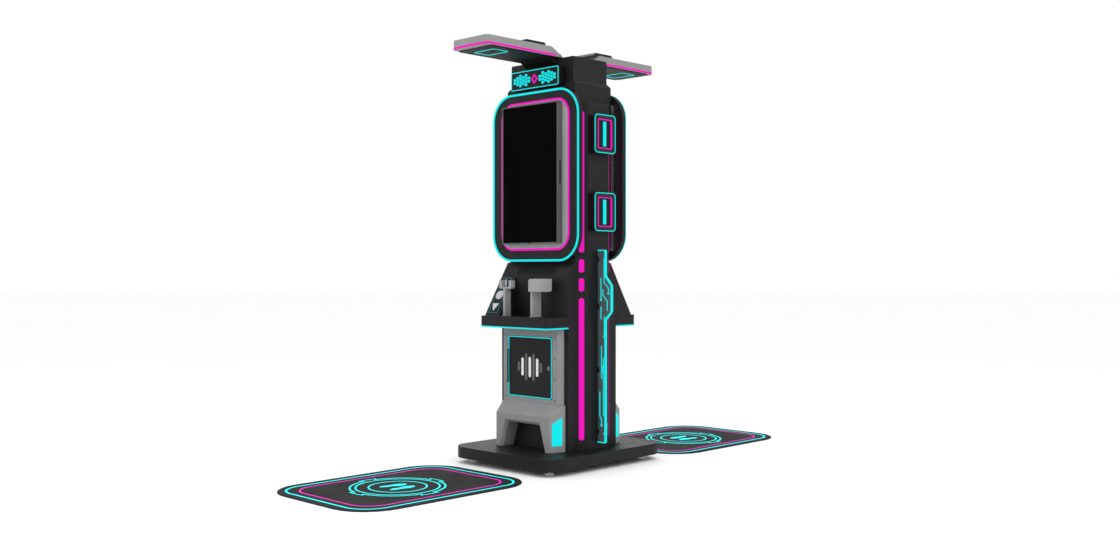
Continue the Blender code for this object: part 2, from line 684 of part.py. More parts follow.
def build_kick_housing(side, parent):
    foot = PLINTH_TOP + GAP
    back = -CABINET_FACE - GAP
    kick = add_object(f"{side}_kick_housing", hull(kick_points(0)), "housing_grey", parent)
    cut(kick, hull(kick_points(KICK_WALL)))
    bevel_end = -KICK_FACE + KICK_MOUTH_BEVEL
    lining_front = -KICK_FACE + KICK_WALL / 2
    lining_back = bevel_end + KICK_WALL
    join(kick, mouth_taper(lining_front, KICK_MOUTH_BEVEL + KICK_WALL, lining_back, KICK_WALL))
    join(kick, prism(mouth_corners(KICK_WALL), bevel_end, back - GAP, "Y"))
    floor = KICK_REAR_HALF_X + KICK_WALL
    cut(kick, block(-floor, floor, -KICK_FACE - MOULD, 0, foot - 2 * MOULD, foot))
    cut(kick, prism(mouth_corners(0), -KICK_FACE - MOULD, 0, "Y"))
    cut(kick, mouth_taper(-KICK_FACE - MOULD, KICK_MOUTH_BEVEL + MOULD, bevel_end, 0))


def build_door(side, parent):
    """The door turns on its left edge; the lock's cam stands up, clear of the frame, when open."""
    axis_x = -DOOR_HALF_X - HINGE_RADIUS + LOCK_PLAY
    axis_y = -HOUSING_FACE - HINGE_RADIUS - LOCK_PLAY
    middle = (DOOR_BOTTOM + DOOR_TOP) / 2
    hinge_low = DOOR_BOTTOM + HINGE_END
    hinge_high = DOOR_TOP - HINGE_END
    half = hinge_high - middle
    knuckle = half - HINGE_KNUCKLE
    pin = half - HINGE_LEAF
    hinge = add_object(
        f"{side}_door_hinge", prism(circle_outline(HINGE_PIN_RADIUS, 12), -pin, pin, "Z"),
        "steel", parent, (axis_x, axis_y, middle), smooth=True)
    for low, high in ((-half, -knuckle), (knuckle, half)):
        join(hinge, prism(circle_outline(HINGE_RADIUS, 16), low, high, "Z"))
    leaf_back = -HOUSING_FACE - GAP - axis_y
    leaf_edge = -HINGE_RADIUS - HINGE_LEAF
    leaf_far = -HINGE_RADIUS - HINGE_LEAF_WIDE
    tip = half - HINGE_LEAF / 2
    root = knuckle + HINGE_LEAF / 2
    fixed_leaf = [(leaf_far, -tip), (0, -tip), (0, -root), (leaf_edge, -root),
                  (leaf_edge, root), (0, root), (0, tip), (leaf_far, tip)]
    join(hinge, prism(fixed_leaf, leaf_back - HINGE_LEAF, leaf_back, "Y"))

    leaf = add_object(
        f"{side}_door",
        block(-DOOR_HALF_X - axis_x, DOOR_HALF_X - axis_x, -HOUSING_FACE - axis_y,
              -HOUSING_FACE + DOOR_THICK - axis_y, DOOR_BOTTOM - middle, DOOR_TOP - middle),
        "panel_black", parent, (axis_x, axis_y, middle))
    cut(leaf, block(-DOOR_HALF_X + SHEET - axis_x, DOOR_HALF_X - SHEET - axis_x,
                    -HOUSING_FACE + SHEET - axis_y, 2 * DOOR_THICK,
                    DOOR_BOTTOM + SHEET - middle, DOOR_TOP - SHEET - middle))
    barrel = knuckle - HINGE_LEAF
    tab = barrel - HINGE_LEAF
    tab_edge = HINGE_RADIUS + HINGE_LEAF_WIDE
    join(leaf, prism([
        (0, leaf_back - HINGE_LEAF), (tab_edge, leaf_back - HINGE_LEAF), (tab_edge, leaf_back + SHEET),
        (HINGE_RADIUS, leaf_back + SHEET), (HINGE_RADIUS, leaf_back), (0, leaf_back)], -tab, tab, "Z"))
    join(leaf, prism(circle_outline(HINGE_RADIUS, 16), -barrel, barrel, "Z"))
    cut(leaf, prism(circle_outline(HINGE_PIN_RADIUS + HINGE_PLAY, 16), -2 * half, 2 * half, "Z"))
    lock_x = DOOR_HALF_X - LOCK_EDGE
    bore = circle_outline(LOCK_RADIUS + LOCK_PLAY, 24, lock_x - axis_x)
    cut(leaf, prism(bore, -DOOR_THICK, DOOR_THICK, "Y"))

    cam_face = -HOUSING_FACE + DOOR_THICK + DOOR_PLAY + STRIKE_THICK + LOCK_PLAY
    lock = add_object(
        f"{side}_door_lock",
        prism(circle_outline(LOCK_RADIUS, 24), -LOCK_PROUD, cam_face + HOUSING_FACE + CAM_THICK / 2, "Y"),
        "steel", parent, (lock_x, -HOUSING_FACE, middle), smooth=True)
    cam = [(-CAM_HALF_WIDE, -CAM_HALF_WIDE), (CAM_HALF_WIDE, -CAM_HALF_WIDE),
           (CAM_HALF_WIDE, CAM_LONG), (-CAM_HALF_WIDE, CAM_LONG)]
    cam_front = cam_face + HOUSING_FACE
    join(lock, prism(cam, cam_front, cam_front + CAM_THICK, "Y"))
    keyhole = LOCK_RADIUS / 5
    cut(lock, block(-keyhole / 2, keyhole / 2, -2 * LOCK_PROUD, LOCK_PROUD, -2 * keyhole, 2 * keyhole))


def build_tray(side, parent):
    back = -CABINET_FACE - GAP
    outline = rounded_outline([
        (-TRAY_HALF_X, -TRAY_FACE, TRAY_CORNER), (TRAY_HALF_X, -TRAY_FACE, TRAY_CORNER),
        (TRAY_HALF_X, back, 0), (-TRAY_HALF_X, back, 0)])
    shape = prism(outline, TRAY_BOTTOM, TRAY_TOP - GAP, "Z")
    tray = add_object(f"{side}_tray", shape, "body_black", parent)
    inner = rounded_outline([
        (-TRAY_HALF_X + MOULD, -TRAY_FACE + MOULD, TRAY_CORNER - MOULD),
        (TRAY_HALF_X - MOULD, -TRAY_FACE + MOULD, TRAY_CORNER - MOULD),
        (TRAY_HALF_X - MOULD, back - MOULD, 0), (-TRAY_HALF_X + MOULD, back - MOULD, 0)])
    cut(tray, prism(inner, TRAY_BOTTOM + MOULD, TRAY_TOP - MOULD, "Z"))
    vent = HOUSING_FRONT_HALF_X / 2
    vent_back = back - TRAY_VENT_INSET
    cut(tray, block(-vent, vent, vent_back - TRAY_VENT_WIDE, vent_back,
                    TRAY_BOTTOM - MOULD, TRAY_BOTTOM + 2 * MOULD))


def slope_empty(side, parent):
    """An empty on the sloped panel: its X runs across, its Y up the slope, its Z out of it."""
    place = (-PLATE_CENTRE_X, slope_y(PLATE_CENTRE_Z), PLATE_CENTRE_Z)
    return make_empty(f"{side}_slope", parent, place, (SLOPE_TILT, 0, 0))


def build_control_fin(side, parent, slope):
    back = -CABINET_FACE - GAP
    top = SLOPE_TOP_Z - (CABINET_FACE + GAP - SLOPE_TOP_Y) / SLOPE_RUN
    profile = [(back, TRAY_TOP), (back, top), (slope_y(TRAY_TOP), TRAY_TOP)]
    fin = add_object(
        f"{side}_control_fin", prism(profile, -CABINET_HALF_X, -FIN_INNER_X, "X"), "body_black", parent)
    wall = MOULD
    slant = wall / math.sin(SLOPE_TILT)
    floor = TRAY_TOP + wall
    inside = [(0, floor), (0, slope_top_inside(slant)), (slope_y(floor) + slant, floor)]
    cut(fin, prism(inside, -CABINET_HALF_X + wall, -FIN_INNER_X - wall, "X"))
    window = add_object(
        f"{side}_control_fin_window",
        block(-WINDOW_HALF_X, WINDOW_HALF_X, -WINDOW_HALF_LONG, WINDOW_HALF_LONG, -2 * wall, wall),
        "body_black", slope)
    window.hide_render = True
    window.display_type = "WIRE"
    modifier = fin.modifiers.new("button_window", "BOOLEAN")
    modifier.operation = "DIFFERENCE"
    modifier.solver = "EXACT"
    modifier.object = window


def slope_top_inside(slant):
    """Height at which the sloped wall's inner face meets the middle plane."""
    return SLOPE_TOP_Z + (SLOPE_TOP_Y - slant) / SLOPE_RUN


def button_outline(kind, grow=0.0):
    if kind == "select":
        return circle_outline(BUTTON_RADIUS + grow, 24)
    sign = 1 if kind == "up" else -1
    flank = math.sqrt(5)
    half = ARROW_RADIUS + grow * (1 + flank) / 2
    low = -sign * (ARROW_RADIUS + grow)
    tip = sign * (ARROW_RADIUS + grow * flank)
    corner = ARROW_RADIUS / 10
    return rounded_outline([(-half * sign, low, corner), (half * sign, low, corner), (0, tip, corner)])


def build_buttons(side, slope):
    plate_outline = rounded_rectangle(
        -PLATE_HALF_X, PLATE_HALF_X, -PLATE_HALF_LONG, PLATE_HALF_LONG, PLATE_CORNER)
    plate = add_object(
        f"{side}_button_plate", prism(plate_outline, GAP, PLATE_THICK, "Z"), "panel_black", slope)
    rows = (("up", BUTTON_PITCH), ("select", 0.0), ("down", -BUTTON_PITCH))
    flange_top = -BUTTON_SEAT
    flange_low = flange_top - BUTTON_FLANGE_THICK
    stem_low = flange_low - STEM_LONG
    switch_top = stem_low - SWITCH_PLAY
    board_top = switch_top - SWITCH_TALL
    board_low = board_top - BOARD_THICK
    sheet = block(-BOARD_HALF_X, BOARD_HALF_X, -BOARD_HALF_LONG, BOARD_HALF_LONG, board_low, board_top)
    board = add_object(f"{side}_switch_board", sheet, "electronics", slope)
    for sign in (-1, 1):
        inner = sign * (WINDOW_HALF_X + GAP)
        outer = sign * (WINDOW_HALF_X + GAP + BOARD_LIP)
        edge = sign * (BOARD_HALF_X - BOARD_LIP)
        join(board, block(min(edge, outer), max(edge, outer), -BOARD_HALF_LONG, BOARD_HALF_LONG,
                          board_low, board_top - BOARD_THICK / 3))
        join(board, block(min(inner, outer), max(inner, outer), -BOARD_HALF_LONG, BOARD_HALF_LONG,
                          board_low, -MOULD - GAP))
    for kind, along in rows:
        hole = [(a, b + along) for a, b in button_outline(kind, BUTTON_PLAY)]
        cut(plate, prism(hole, -PLATE_THICK, 2 * PLATE_THICK, "Z"))
        join(board, block(-SWITCH_HALF, SWITCH_HALF, along - SWITCH_HALF, along + SWITCH_HALF,
                          board_top - BOARD_THICK / 3, switch_top))
        flange_middle = flange_low + BUTTON_FLANGE_THICK / 2
        cap = prism(button_outline(kind), flange_middle, PLATE_THICK + BUTTON_PROUD, "Z")
        button = add_object(
            f"{side}_button_{kind}", cap, "button_white", slope, (0, along, 0), smooth=True)
        join(button, prism(button_outline(kind, BUTTON_FLANGE), flange_low, flange_top, "Z"))
        join(button, prism(circle_outline(STEM_RADIUS, 12), stem_low, flange_middle, "Z"))


def build_stands(side, parent):
    foot = TRAY_TOP
    head_right = READER_X + READER_WIDE
    head_back = -READER_FACE + READER_DEEP
    head_top = READER_BOTTOM + READER_TALL
    outline = rounded_outline([
        (READER_X, READER_BOTTOM, 0), (head_right, READER_BOTTOM, 0), (head_right, head_top, 0),
        (READER_X, head_top, READER_ROUND)])
    head = prism(outline, -READER_FACE, head_back, "Y")
    reader = add_object(f"{side}_reader_stand", head, "trim_grey", parent, smooth=True)
    rear_round = rounded_outline([
        (head_back, READER_BOTTOM, READER_ROUND), (head_back, head_top, 0),
        (-READER_FACE - MOULD, head_top, 0), (-READER_FACE - MOULD, READER_BOTTOM, 0)])
    combine(reader, prism(rear_round, READER_X - MOULD, head_right + MOULD, "X"), "INTERSECT")
    post_left = READER_X
    post_front = -READER_FACE + READER_POST_INSET
    join(reader, block(post_left, post_left + READER_POST_WIDE, post_front, post_front + READER_POST_DEEP,
                       foot, READER_BOTTOM + MOULD))

    cradle_top = CRADLE_BOTTOM + CRADLE_TALL
    left = CRADLE_X - CRADLE_HALF_X
    right = CRADLE_X + CRADLE_HALF_X
    floor = CRADLE_BOTTOM + CRADLE_FLOOR
    cradle_outline = rounded_outline([
        (left, CRADLE_BOTTOM, CRADLE_ROUND), (right, CRADLE_BOTTOM, CRADLE_ROUND), (right, cradle_top, 0),
        (right - CRADLE_PRONG, cradle_top, 0), (right - CRADLE_PRONG, floor, 0),
        (left + CRADLE_PRONG, floor, 0), (left + CRADLE_PRONG, cradle_top, 0), (left, cradle_top, 0)])
    cradle = add_object(
        f"{side}_cradle_stand", prism(cradle_outline, -CRADLE_FACE, -CRADLE_FACE + CRADLE_DEEP, "Y"),
        "trim_grey", parent, smooth=True)
    half = CRADLE_POST_WIDE / 2
    middle = -CRADLE_FACE + CRADLE_DEEP / 2
    join(cradle, block(CRADLE_X - half, CRADLE_X + half, middle - CRADLE_POST_DEEP / 2,
                       middle + CRADLE_POST_DEEP / 2, foot, CRADLE_BOTTOM + MOULD))


def build_side(side, turn):
    parent = make_empty(f"{side}_side", None, (0, 0, 0), (0, 0, turn))
    slope = slope_empty(side, parent)
    build_cabinet(side, parent)
    build_door_housing(side, parent)
    build_kick_housing(side, parent)
    build_door(side, parent)
    build_tray(side, parent)
    build_control_fin(side, parent, slope)
    build_buttons(side, slope)
    build_stands(side, parent)
    build_screen(side, parent)
    build_sign(side, parent)
    build_canopy(side, parent)


def main():
    clear_scene()
    make_materials()
    build_plinth()
    build_feet()
    build_column()
    build_neck()
    build_power()
    build_mats()
    build_speakers()
    build_light_fins()
    build_side("front", 0.0)
    build_side("rear", math.pi)


main()
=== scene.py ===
import json
import math

import bmesh
import bpy
from mathutils import Matrix, Vector

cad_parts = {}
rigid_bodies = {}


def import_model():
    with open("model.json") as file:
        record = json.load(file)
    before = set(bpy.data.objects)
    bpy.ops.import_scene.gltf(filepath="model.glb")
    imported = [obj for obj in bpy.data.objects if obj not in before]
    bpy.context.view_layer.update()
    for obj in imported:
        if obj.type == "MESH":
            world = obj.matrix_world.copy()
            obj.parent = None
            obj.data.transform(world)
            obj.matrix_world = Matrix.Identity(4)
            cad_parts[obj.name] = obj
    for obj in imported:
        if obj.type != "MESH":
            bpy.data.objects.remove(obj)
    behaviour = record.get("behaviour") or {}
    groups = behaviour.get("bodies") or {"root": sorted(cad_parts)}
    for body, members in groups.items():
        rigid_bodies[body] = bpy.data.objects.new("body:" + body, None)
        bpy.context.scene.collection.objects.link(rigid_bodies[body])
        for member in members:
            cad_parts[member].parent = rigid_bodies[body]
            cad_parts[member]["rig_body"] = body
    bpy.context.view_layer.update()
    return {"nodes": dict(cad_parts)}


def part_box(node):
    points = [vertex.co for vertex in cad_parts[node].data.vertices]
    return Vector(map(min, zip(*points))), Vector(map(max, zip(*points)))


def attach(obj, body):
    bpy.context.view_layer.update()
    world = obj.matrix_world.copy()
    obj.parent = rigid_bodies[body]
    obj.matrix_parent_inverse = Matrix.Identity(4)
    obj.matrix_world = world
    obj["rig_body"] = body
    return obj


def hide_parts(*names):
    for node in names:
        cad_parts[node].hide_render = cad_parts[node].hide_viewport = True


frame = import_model()

bl_info = {
    "name": "Dance Rhythm Machine",
    "version": (1, 0, 0),
    "blender": (4, 5, 0),
    "location": "View3D > Sidebar > Dance Machine",
    "description": "Lights, trims and finishes for a double-sided dance rhythm machine",
    "category": "Object",
}

# The rear half is the front half turned half a turn, so each side's pieces are drawn at the front.
SIDES = {"front": Matrix.Identity(4), "rear": Matrix.Rotation(math.pi, 4, "Z")}
UP = Vector((0, 0, 1))
FRONT = Vector((0, -1, 0))
BACK = Vector((0, 1, 0))
SHARP = math.radians(38)


# ---- settings ---------------------------------------------------------------------------------
class LightSettings(bpy.types.PropertyGroup):
    cyan: bpy.props.FloatVectorProperty(
        name="Cyan", description="Colour of the cyan lights", subtype="COLOR",
        default=(0.0, 0.84, 0.86))
    magenta: bpy.props.FloatVectorProperty(
        name="Magenta", description="Colour of the magenta lights", subtype="COLOR",
        default=(0.92, 0.0, 0.54))
    strength: bpy.props.FloatProperty(
        name="Strength", description="Brightness of the lights", default=1.0, min=0.0)
    rim_width: bpy.props.FloatProperty(
        name="Rim width", description="Width of the light round the screen surround",
        default=0.0145, unit="LENGTH")
    outline_width: bpy.props.FloatProperty(
        name="Outline width", description="Width of the magenta outline round the screen",
        default=0.015, unit="LENGTH")
    line_width: bpy.props.FloatProperty(
        name="Line width", description="Width of the small light outlines",
        default=0.006, unit="LENGTH")
    proud: bpy.props.FloatProperty(
        name="Proud", description="How far a light strip stands off its panel",
        default=0.003, unit="LENGTH")
    bar_width: bpy.props.FloatProperty(
        name="Corner bar width", description="Width of the bars on the column's corners",
        default=0.036, unit="LENGTH")
    trace_radius: bpy.props.FloatProperty(
        name="Trace radius", description="Radius of the light fin's traces",
        default=0.0034, unit="LENGTH")


class FinishSettings(bpy.types.PropertyGroup):
    body: bpy.props.FloatVectorProperty(
        name="Body", description="Colour of the black powder coat", subtype="COLOR",
        default=(0.0092, 0.0092, 0.0096))
    housing: bpy.props.FloatVectorProperty(
        name="Housing", description="Colour of the grey powder coat", subtype="COLOR",
        default=(0.25, 0.25, 0.252))
    stand: bpy.props.FloatVectorProperty(
        name="Stands", description="Colour of the stands on the tray", subtype="COLOR",
        default=(0.29, 0.29, 0.292))
    button: bpy.props.FloatVectorProperty(
        name="Buttons", description="Colour of the button caps", subtype="COLOR",
        default=(0.5, 0.5, 0.51))
    acrylic: bpy.props.FloatVectorProperty(
        name="Acrylic", description="Colour of the light fins", subtype="COLOR",
        default=(0.085, 0.11, 0.115))
    edge: bpy.props.FloatProperty(
        name="Edge", description="Rounding of folded and moulded edges", default=0.0012, unit="LENGTH")


class TrimSettings(bpy.types.PropertyGroup):
    screw_radius: bpy.props.FloatProperty(
        name="Screw radius", description="Radius of a screw's head", default=0.0045, unit="LENGTH")
    grille_slots: bpy.props.IntProperty(
        name="Grille slots", description="Slots in the hood's grille", default=36, min=2)
    vent_slots: bpy.props.IntProperty(
        name="Vent slots", description="Slots in each vent", default=9, min=2)
    mat_cyan_inset: bpy.props.FloatProperty(
        name="Outer mat line", description="Outer line to the mat's edge", default=0.058, unit="LENGTH")
    mat_magenta_inset: bpy.props.FloatProperty(
        name="Inner mat line", description="Inner line to the mat's edge", default=0.122, unit="LENGTH")
    mat_ring: bpy.props.FloatProperty(
        name="Mat ring", description="Radius of the mat's outer ring", default=0.298, unit="LENGTH")


class StageSettings(bpy.types.PropertyGroup):
    floor: bpy.props.FloatVectorProperty(
        name="Floor", description="Colour of the floor", subtype="COLOR", default=(0.98, 0.98, 0.98))
    key: bpy.props.FloatProperty(
        name="Key light", description="Power of the main light", default=90.0, unit="POWER")
    fill: bpy.props.FloatProperty(
        name="Fill light", description="Power of each softer light", default=45.0, unit="POWER")
    sky: bpy.props.FloatProperty(
        name="Sky", description="Strength of the surrounding light", default=1.0)
    camera: bpy.props.FloatVectorProperty(
        name="Camera", description="Where the camera stands", subtype="TRANSLATION",
        default=(5.612, -5.732, 1.344))
    heading: bpy.props.FloatProperty(
        name="Heading", description="Camera's turn about the upright axis", subtype="ANGLE",
        default=math.radians(44.322))
    pitch: bpy.props.FloatProperty(
        name="Pitch", description="Camera's tilt from upright", subtype="ANGLE",
        default=math.radians(89.783))
    lens: bpy.props.FloatProperty(
        name="Lens", description="Focal length", subtype="DISTANCE_CAMERA", default=36.61)


# ---- finishes ---------------------------------------------------------------------------------
class Finish:
    """A material being wired: its Principled shader and the object coordinates that pattern it."""

    def __init__(self, name):
        self.material = bpy.data.materials.new(f"{name}_finish")
        self.material.use_nodes = True
        self.tree = self.material.node_tree
        self.shader = self.tree.nodes["Principled BSDF"]
        self.coords = self.tree.nodes.new("ShaderNodeTexCoord").outputs["Object"]

    def add(self, kind, links=(), **values):
        node = self.tree.nodes.new(kind)
        for name, value in values.items():
            setattr(node, name, value)
        for socket, source in links:
            self.tree.links.new(source, node.inputs[socket])
        return node

    def stretched(self, scale):
        node = self.add("ShaderNodeMapping", [("Vector", self.coords)])
        node.inputs["Scale"].default_value = scale
        return node.outputs["Vector"]

    def noise(self, scale, detail=4.0, vector=None):
        node = self.add("ShaderNodeTexNoise", [("Vector", vector or self.coords)])
        node.inputs["Scale"].default_value = scale
        node.inputs["Detail"].default_value = detail
        return node.outputs["Fac"]

    def cells(self, scale, randomness=1.0, vector=None):
        node = self.add("ShaderNodeTexVoronoi", [("Vector", vector or self.coords)])
        node.inputs["Scale"].default_value = scale
        node.inputs["Randomness"].default_value = randomness
        return node.outputs["Distance"]

    def spread(self, source, low, high, near=0.3, far=0.7):
        """source, from near to far, mapped to low to high."""
        node = self.add("ShaderNodeMapRange", [("Value", source)])
        node.inputs["From Min"].default_value = near
        node.inputs["From Max"].default_value = far
        node.inputs["To Min"].default_value = low
        node.inputs["To Max"].default_value = high
        return node.outputs["Result"]

    def colours(self, source, *stops):
        node = self.add("ShaderNodeValToRGB", [("Fac", source)])
        ramp = node.color_ramp
        ramp.elements[0].position = stops[0][0]
        ramp.elements[0].color = (*stops[0][1], 1.0)
        ramp.elements[1].position = stops[-1][0]
        ramp.elements[1].color = (*stops[-1][1], 1.0)
        for position, colour in stops[1:-1]:
            ramp.elements.new(position).color = (*colour, 1.0)
        return node.outputs["Color"]

    def mottle(self, scale, detail, colour, depth):
        """The colour, a little darker and lighter in soft patches."""
        return self.colours(
            self.noise(scale, detail), (0.3, shade(colour, 1 - depth)), (0.7, shade(colour, 1 + depth)))

    def blend(self, share, first, second):
        node = self.add("ShaderNodeMix", data_type="RGBA")
        self.tree.links.new(share, node.inputs["Factor"])
        self.tree.links.new(first, node.inputs["A"])
        self.tree.links.new(second, node.inputs["B"])
        return node.outputs["Result"]

    def bump(self, height, distance, strength=1.0, under=None):
        links = [("Height", height)]
        if under:
            links.append(("Normal", under))
        node = self.add("ShaderNodeBump", links)
        node.inputs["Distance"].default_value = distance
        node.inputs["Strength"].default_value = strength
        return node.outputs["Normal"]

    def wire(self, **sources):
        for name, source in sources.items():
            self.tree.links.new(source, self.shader.inputs[name.replace("_", " ")])

    def fix(self, **values):
        for name, value in values.items():
            self.shader.inputs[name.replace("_", " ")].default_value = value


def shade(colour, factor):
    return tuple(min(1.0, channel * factor) for channel in colour)


def powder_coat(name, colour, gloss=0.46):
    """Baked powder coat: fine orange peel, cloudy gloss, a little dust and a few fine scuffs."""
    finish = Finish(name)
    cloud = finish.noise(2.2, 5)
    grain = finish.noise(420, 3)
    scuff = finish.noise(9, 8, finish.stretched((1.0, 1.0, 9.0)))
    base = finish.colours(cloud, (0.3, shade(colour, 0.9)), (0.52, colour), (0.75, shade(colour, 1.12)))
    worn = finish.colours(cloud, (0.3, shade(colour, 1.35)), (0.7, shade(colour, 1.7)))
    marks = finish.spread(scuff, 0.0, 0.35, 0.62, 0.8)
    finish.wire(
        Base_Color=finish.blend(marks, base, worn),
        Roughness=finish.spread(finish.noise(18, 6), gloss - 0.06, gloss + 0.1),
        Normal=finish.bump(grain, 0.0004, 0.35, finish.bump(finish.noise(70, 2), 0.0005, 0.2)))
    finish.fix(Specular_IOR_Level=0.17)
    return finish.material


def moulded_plastic(name, colour, gloss, texture=900):
    """Injection-moulded plastic with a spark-eroded grain and faint handling marks."""
    finish = Finish(name)
    handling = finish.noise(14, 6)
    finish.wire(
        Base_Color=finish.mottle(5, 4, colour, 0.08),
        Roughness=finish.spread(handling, gloss - 0.05, gloss + 0.09),
        Normal=finish.bump(finish.cells(texture), 0.0003, 0.25))
    finish.fix(Specular_IOR_Level=0.25)
    return finish.material


def gloss_panel(name, colour):
    """Screen-printed acrylic: deep gloss over black, with polishing haze."""
    finish = Finish(name)
    haze = finish.noise(30, 8, finish.stretched((1.0, 1.0, 3.0)))
    finish.wire(
        Base_Color=finish.mottle(3, 3, colour, 0.15),
        Roughness=finish.spread(haze, 0.2, 0.34),
        Normal=finish.bump(finish.noise(12, 3), 0.0006, 0.08))
    finish.fix(Specular_IOR_Level=0.16)
    return finish.material


def screen_glass():
    """Near-black glass with faint wiping marks."""
    finish = Finish("screen_glass")
    smear = finish.noise(5, 8, finish.stretched((1.0, 1.0, 0.4)))
    finish.wire(
        Base_Color=finish.colours(
            smear, (0.3, (0.0008, 0.0008, 0.001)), (0.7, (0.0016, 0.0016, 0.002))),
        Roughness=finish.spread(smear, 0.2, 0.36))
    finish.fix(Specular_IOR_Level=0.012)
    return finish.material


def light_strip(name, colour, strength, pitch=0.009):
    """A milky diffuser over a row of diodes, a little brighter over each one."""
    finish = Finish(name)
    diodes = finish.cells(1 / pitch, 0.0)
    glow = finish.colours(diodes, (0.0, colour), (0.9, shade(colour, 0.86)))
    finish.wire(
        Base_Color=finish.colours(diodes, (0.0, shade(colour, 0.07)), (0.9, shade(colour, 0.05))),
        Emission_Color=glow,
        Roughness=finish.spread(finish.noise(60, 3), 0.3, 0.42))
    finish.fix(Emission_Strength=strength, Specular_IOR_Level=0.12)
    return finish.material


def printed_ink_with_painted_glow(name, colour, strength):
    """Heat-pressed ink that has sunk into the rubber's grain, with a painted glow: the print emits
    light though it is no lamp.
    """
    finish = Finish(name)
    worn = finish.noise(160, 6)
    finish.wire(
        Base_Color=finish.colours(worn, (0.28, shade(colour, 0.55)), (0.42, colour), (0.8, colour)),
        # Painted glow: the ink's colour is also emitted, dimmer where it is worn.
        Emission_Color=finish.colours(worn, (0.28, shade(colour, 0.4)), (0.42, colour), (0.8, colour)),
        Roughness=finish.spread(worn, 0.5, 0.7),
        Normal=finish.bump(finish.cells(650), 0.0004, 0.5))
    finish.fix(Emission_Strength=strength, Specular_IOR_Level=0.15)
    return finish.material


def mat_rubber():
    """Pebbled rubber, dusty, and a little smoother where it is less dusty."""
    finish = Finish("mat_rubber")
    dust = finish.noise(3.5, 7)
    colour = (0.0095, 0.0095, 0.0099)
    finish.wire(
        Base_Color=finish.colours(
            dust, (0.3, colour), (0.6, shade(colour, 1.25)), (0.8, shade(colour, 1.7))),
        Roughness=finish.spread(dust, 0.72, 0.9),
        Normal=finish.bump(
            finish.cells(520), 0.0008, 0.7, finish.bump(finish.noise(40, 3), 0.0006, 0.3)))
    finish.fix(Specular_IOR_Level=0.2)
    return finish.material


def smoked_acrylic(colour):
    """Edge-lit sheet: smoked, polished, with saw haze and hairline scratches."""
    finish = Finish("smoked_acrylic")
    scratches = finish.noise(60, 6, finish.stretched((1.0, 1.0, 0.12)))
    finish.wire(
        Base_Color=finish.mottle(4, 4, colour, 0.15),
        Roughness=finish.spread(scratches, 0.1, 0.22),
        Normal=finish.bump(scratches, 0.0002, 0.2))
    finish.fix(Specular_IOR_Level=0.3, IOR=1.49)
    return finish.material


def brushed_metal(name, colour, rough):
    """Bare or plated metal with an upright grain."""
    finish = Finish(name)
    lines = finish.noise(700, 3, finish.stretched((1.0, 1.0, 0.02)))
    blooms = finish.cells(45)
    finish.wire(
        Base_Color=finish.colours(blooms, (0.1, shade(colour, 1.08)), (0.7, shade(colour, 0.88))),
        Roughness=finish.spread(lines, rough - 0.05, rough + 0.12),
        Normal=finish.bump(lines, 0.0001, 0.25))
    finish.fix(Metallic=1.0)
    return finish.material


def circuit_board():
    """Green solder mask with copper runs showing through and rows of dark parts."""
    finish = Finish("circuit_board")
    runs = finish.cells(90, 0.0, finish.stretched((1.0, 1.0, 0.3)))
    parts = finish.cells(38, 0.6)
    mask = finish.colours(runs, (0.3, (0.02, 0.12, 0.05)), (0.45, (0.012, 0.06, 0.03)))
    chips = finish.colours(parts, (0.25, (0.01, 0.01, 0.011)), (0.3, (0.02, 0.02, 0.02)))
    finish.wire(
        Base_Color=finish.blend(finish.spread(parts, 1.0, 0.0, 0.26, 0.3), mask, chips),
        Roughness=finish.spread(parts, 0.55, 0.3, 0.2, 0.4),
        Normal=finish.bump(parts, 0.001, 0.4))
    return finish.material


def speaker_mesh():
    """Perforated steel, its holes painted near black: painted shade seen through the holes."""
    finish = Finish("speaker_mesh")
    holes_and_painted_shade = finish.cells(280, 0.0)
    finish.wire(
        # Painted shade: the holes' spots are near black, the steel between them dark grey.
        Base_Color=finish.colours(holes_and_painted_shade, (0.3, (0.001, 0.001, 0.001)), (0.42, (0.011, 0.011, 0.0112))),
        Roughness=finish.spread(holes_and_painted_shade, 0.9, 0.4, 0.3, 0.42),
        Normal=finish.bump(holes_and_painted_shade, 0.0009, 0.6))
    finish.fix(Specular_IOR_Level=0.12)
    return finish.material


def foot_rubber():
    """Pale rubber with a little dirt."""
    finish = Finish("foot_rubber")
    dirt = finish.noise(45, 6)
    finish.wire(
        Base_Color=finish.colours(dirt, (0.3, (0.8, 0.8, 0.8)), (0.6, (0.9, 0.9, 0.9))),
        Roughness=finish.spread(dirt, 0.5, 0.75),
        Normal=finish.bump(dirt, 0.0004, 0.3))
    return finish.material


def floor_finish(colour):
    """A plain pale floor."""
    finish = Finish("floor")
    finish.wire(
        Base_Color=finish.colours(finish.noise(0.8, 3), (0.3, shade(colour, 0.985)), (0.7, colour)),
        Roughness=finish.spread(finish.noise(5, 4), 0.75, 0.9))
    return finish.material


# ---- making pieces ----------------------------------------------------------------------------
def seat(origin, out=FRONT, up=UP):
    """The place of a piece drawn flat: its Z points out of the surface and its Y up it."""
    z = Vector(out).normalized()
    y = Vector(up).normalized()
    turn = Matrix((y.cross(z), y, z)).transposed().to_4x4()
    return Matrix.Translation(origin) @ turn


def on_top(x, y, z):
    """The place of a piece that lies on a level surface."""
    return seat((x, y, z), UP, BACK)


def underneath(y, z):
    """The place of a piece under a level surface."""
    return seat((0, y, z), -UP, FRONT)


def thicken(bm, depth):
    """Give a flat shape its depth, along its Z."""
    grown = bmesh.ops.extrude_face_region(bm, geom=bm.faces[:])["geom"]
    moved = [v for v in grown if isinstance(v, bmesh.types.BMVert)]
    bmesh.ops.translate(bm, vec=(0, 0, depth), verts=moved)
    bmesh.ops.recalc_face_normals(bm, faces=bm.faces[:])


def round_off(bm, geometry, width, segments, affect="EDGES", clamp=False):
    bmesh.ops.bevel(
        bm, geom=geometry, offset=width, offset_type="OFFSET", affect=affect, segments=segments,
        profile=0.5, material=-1, clamp_overlap=clamp)


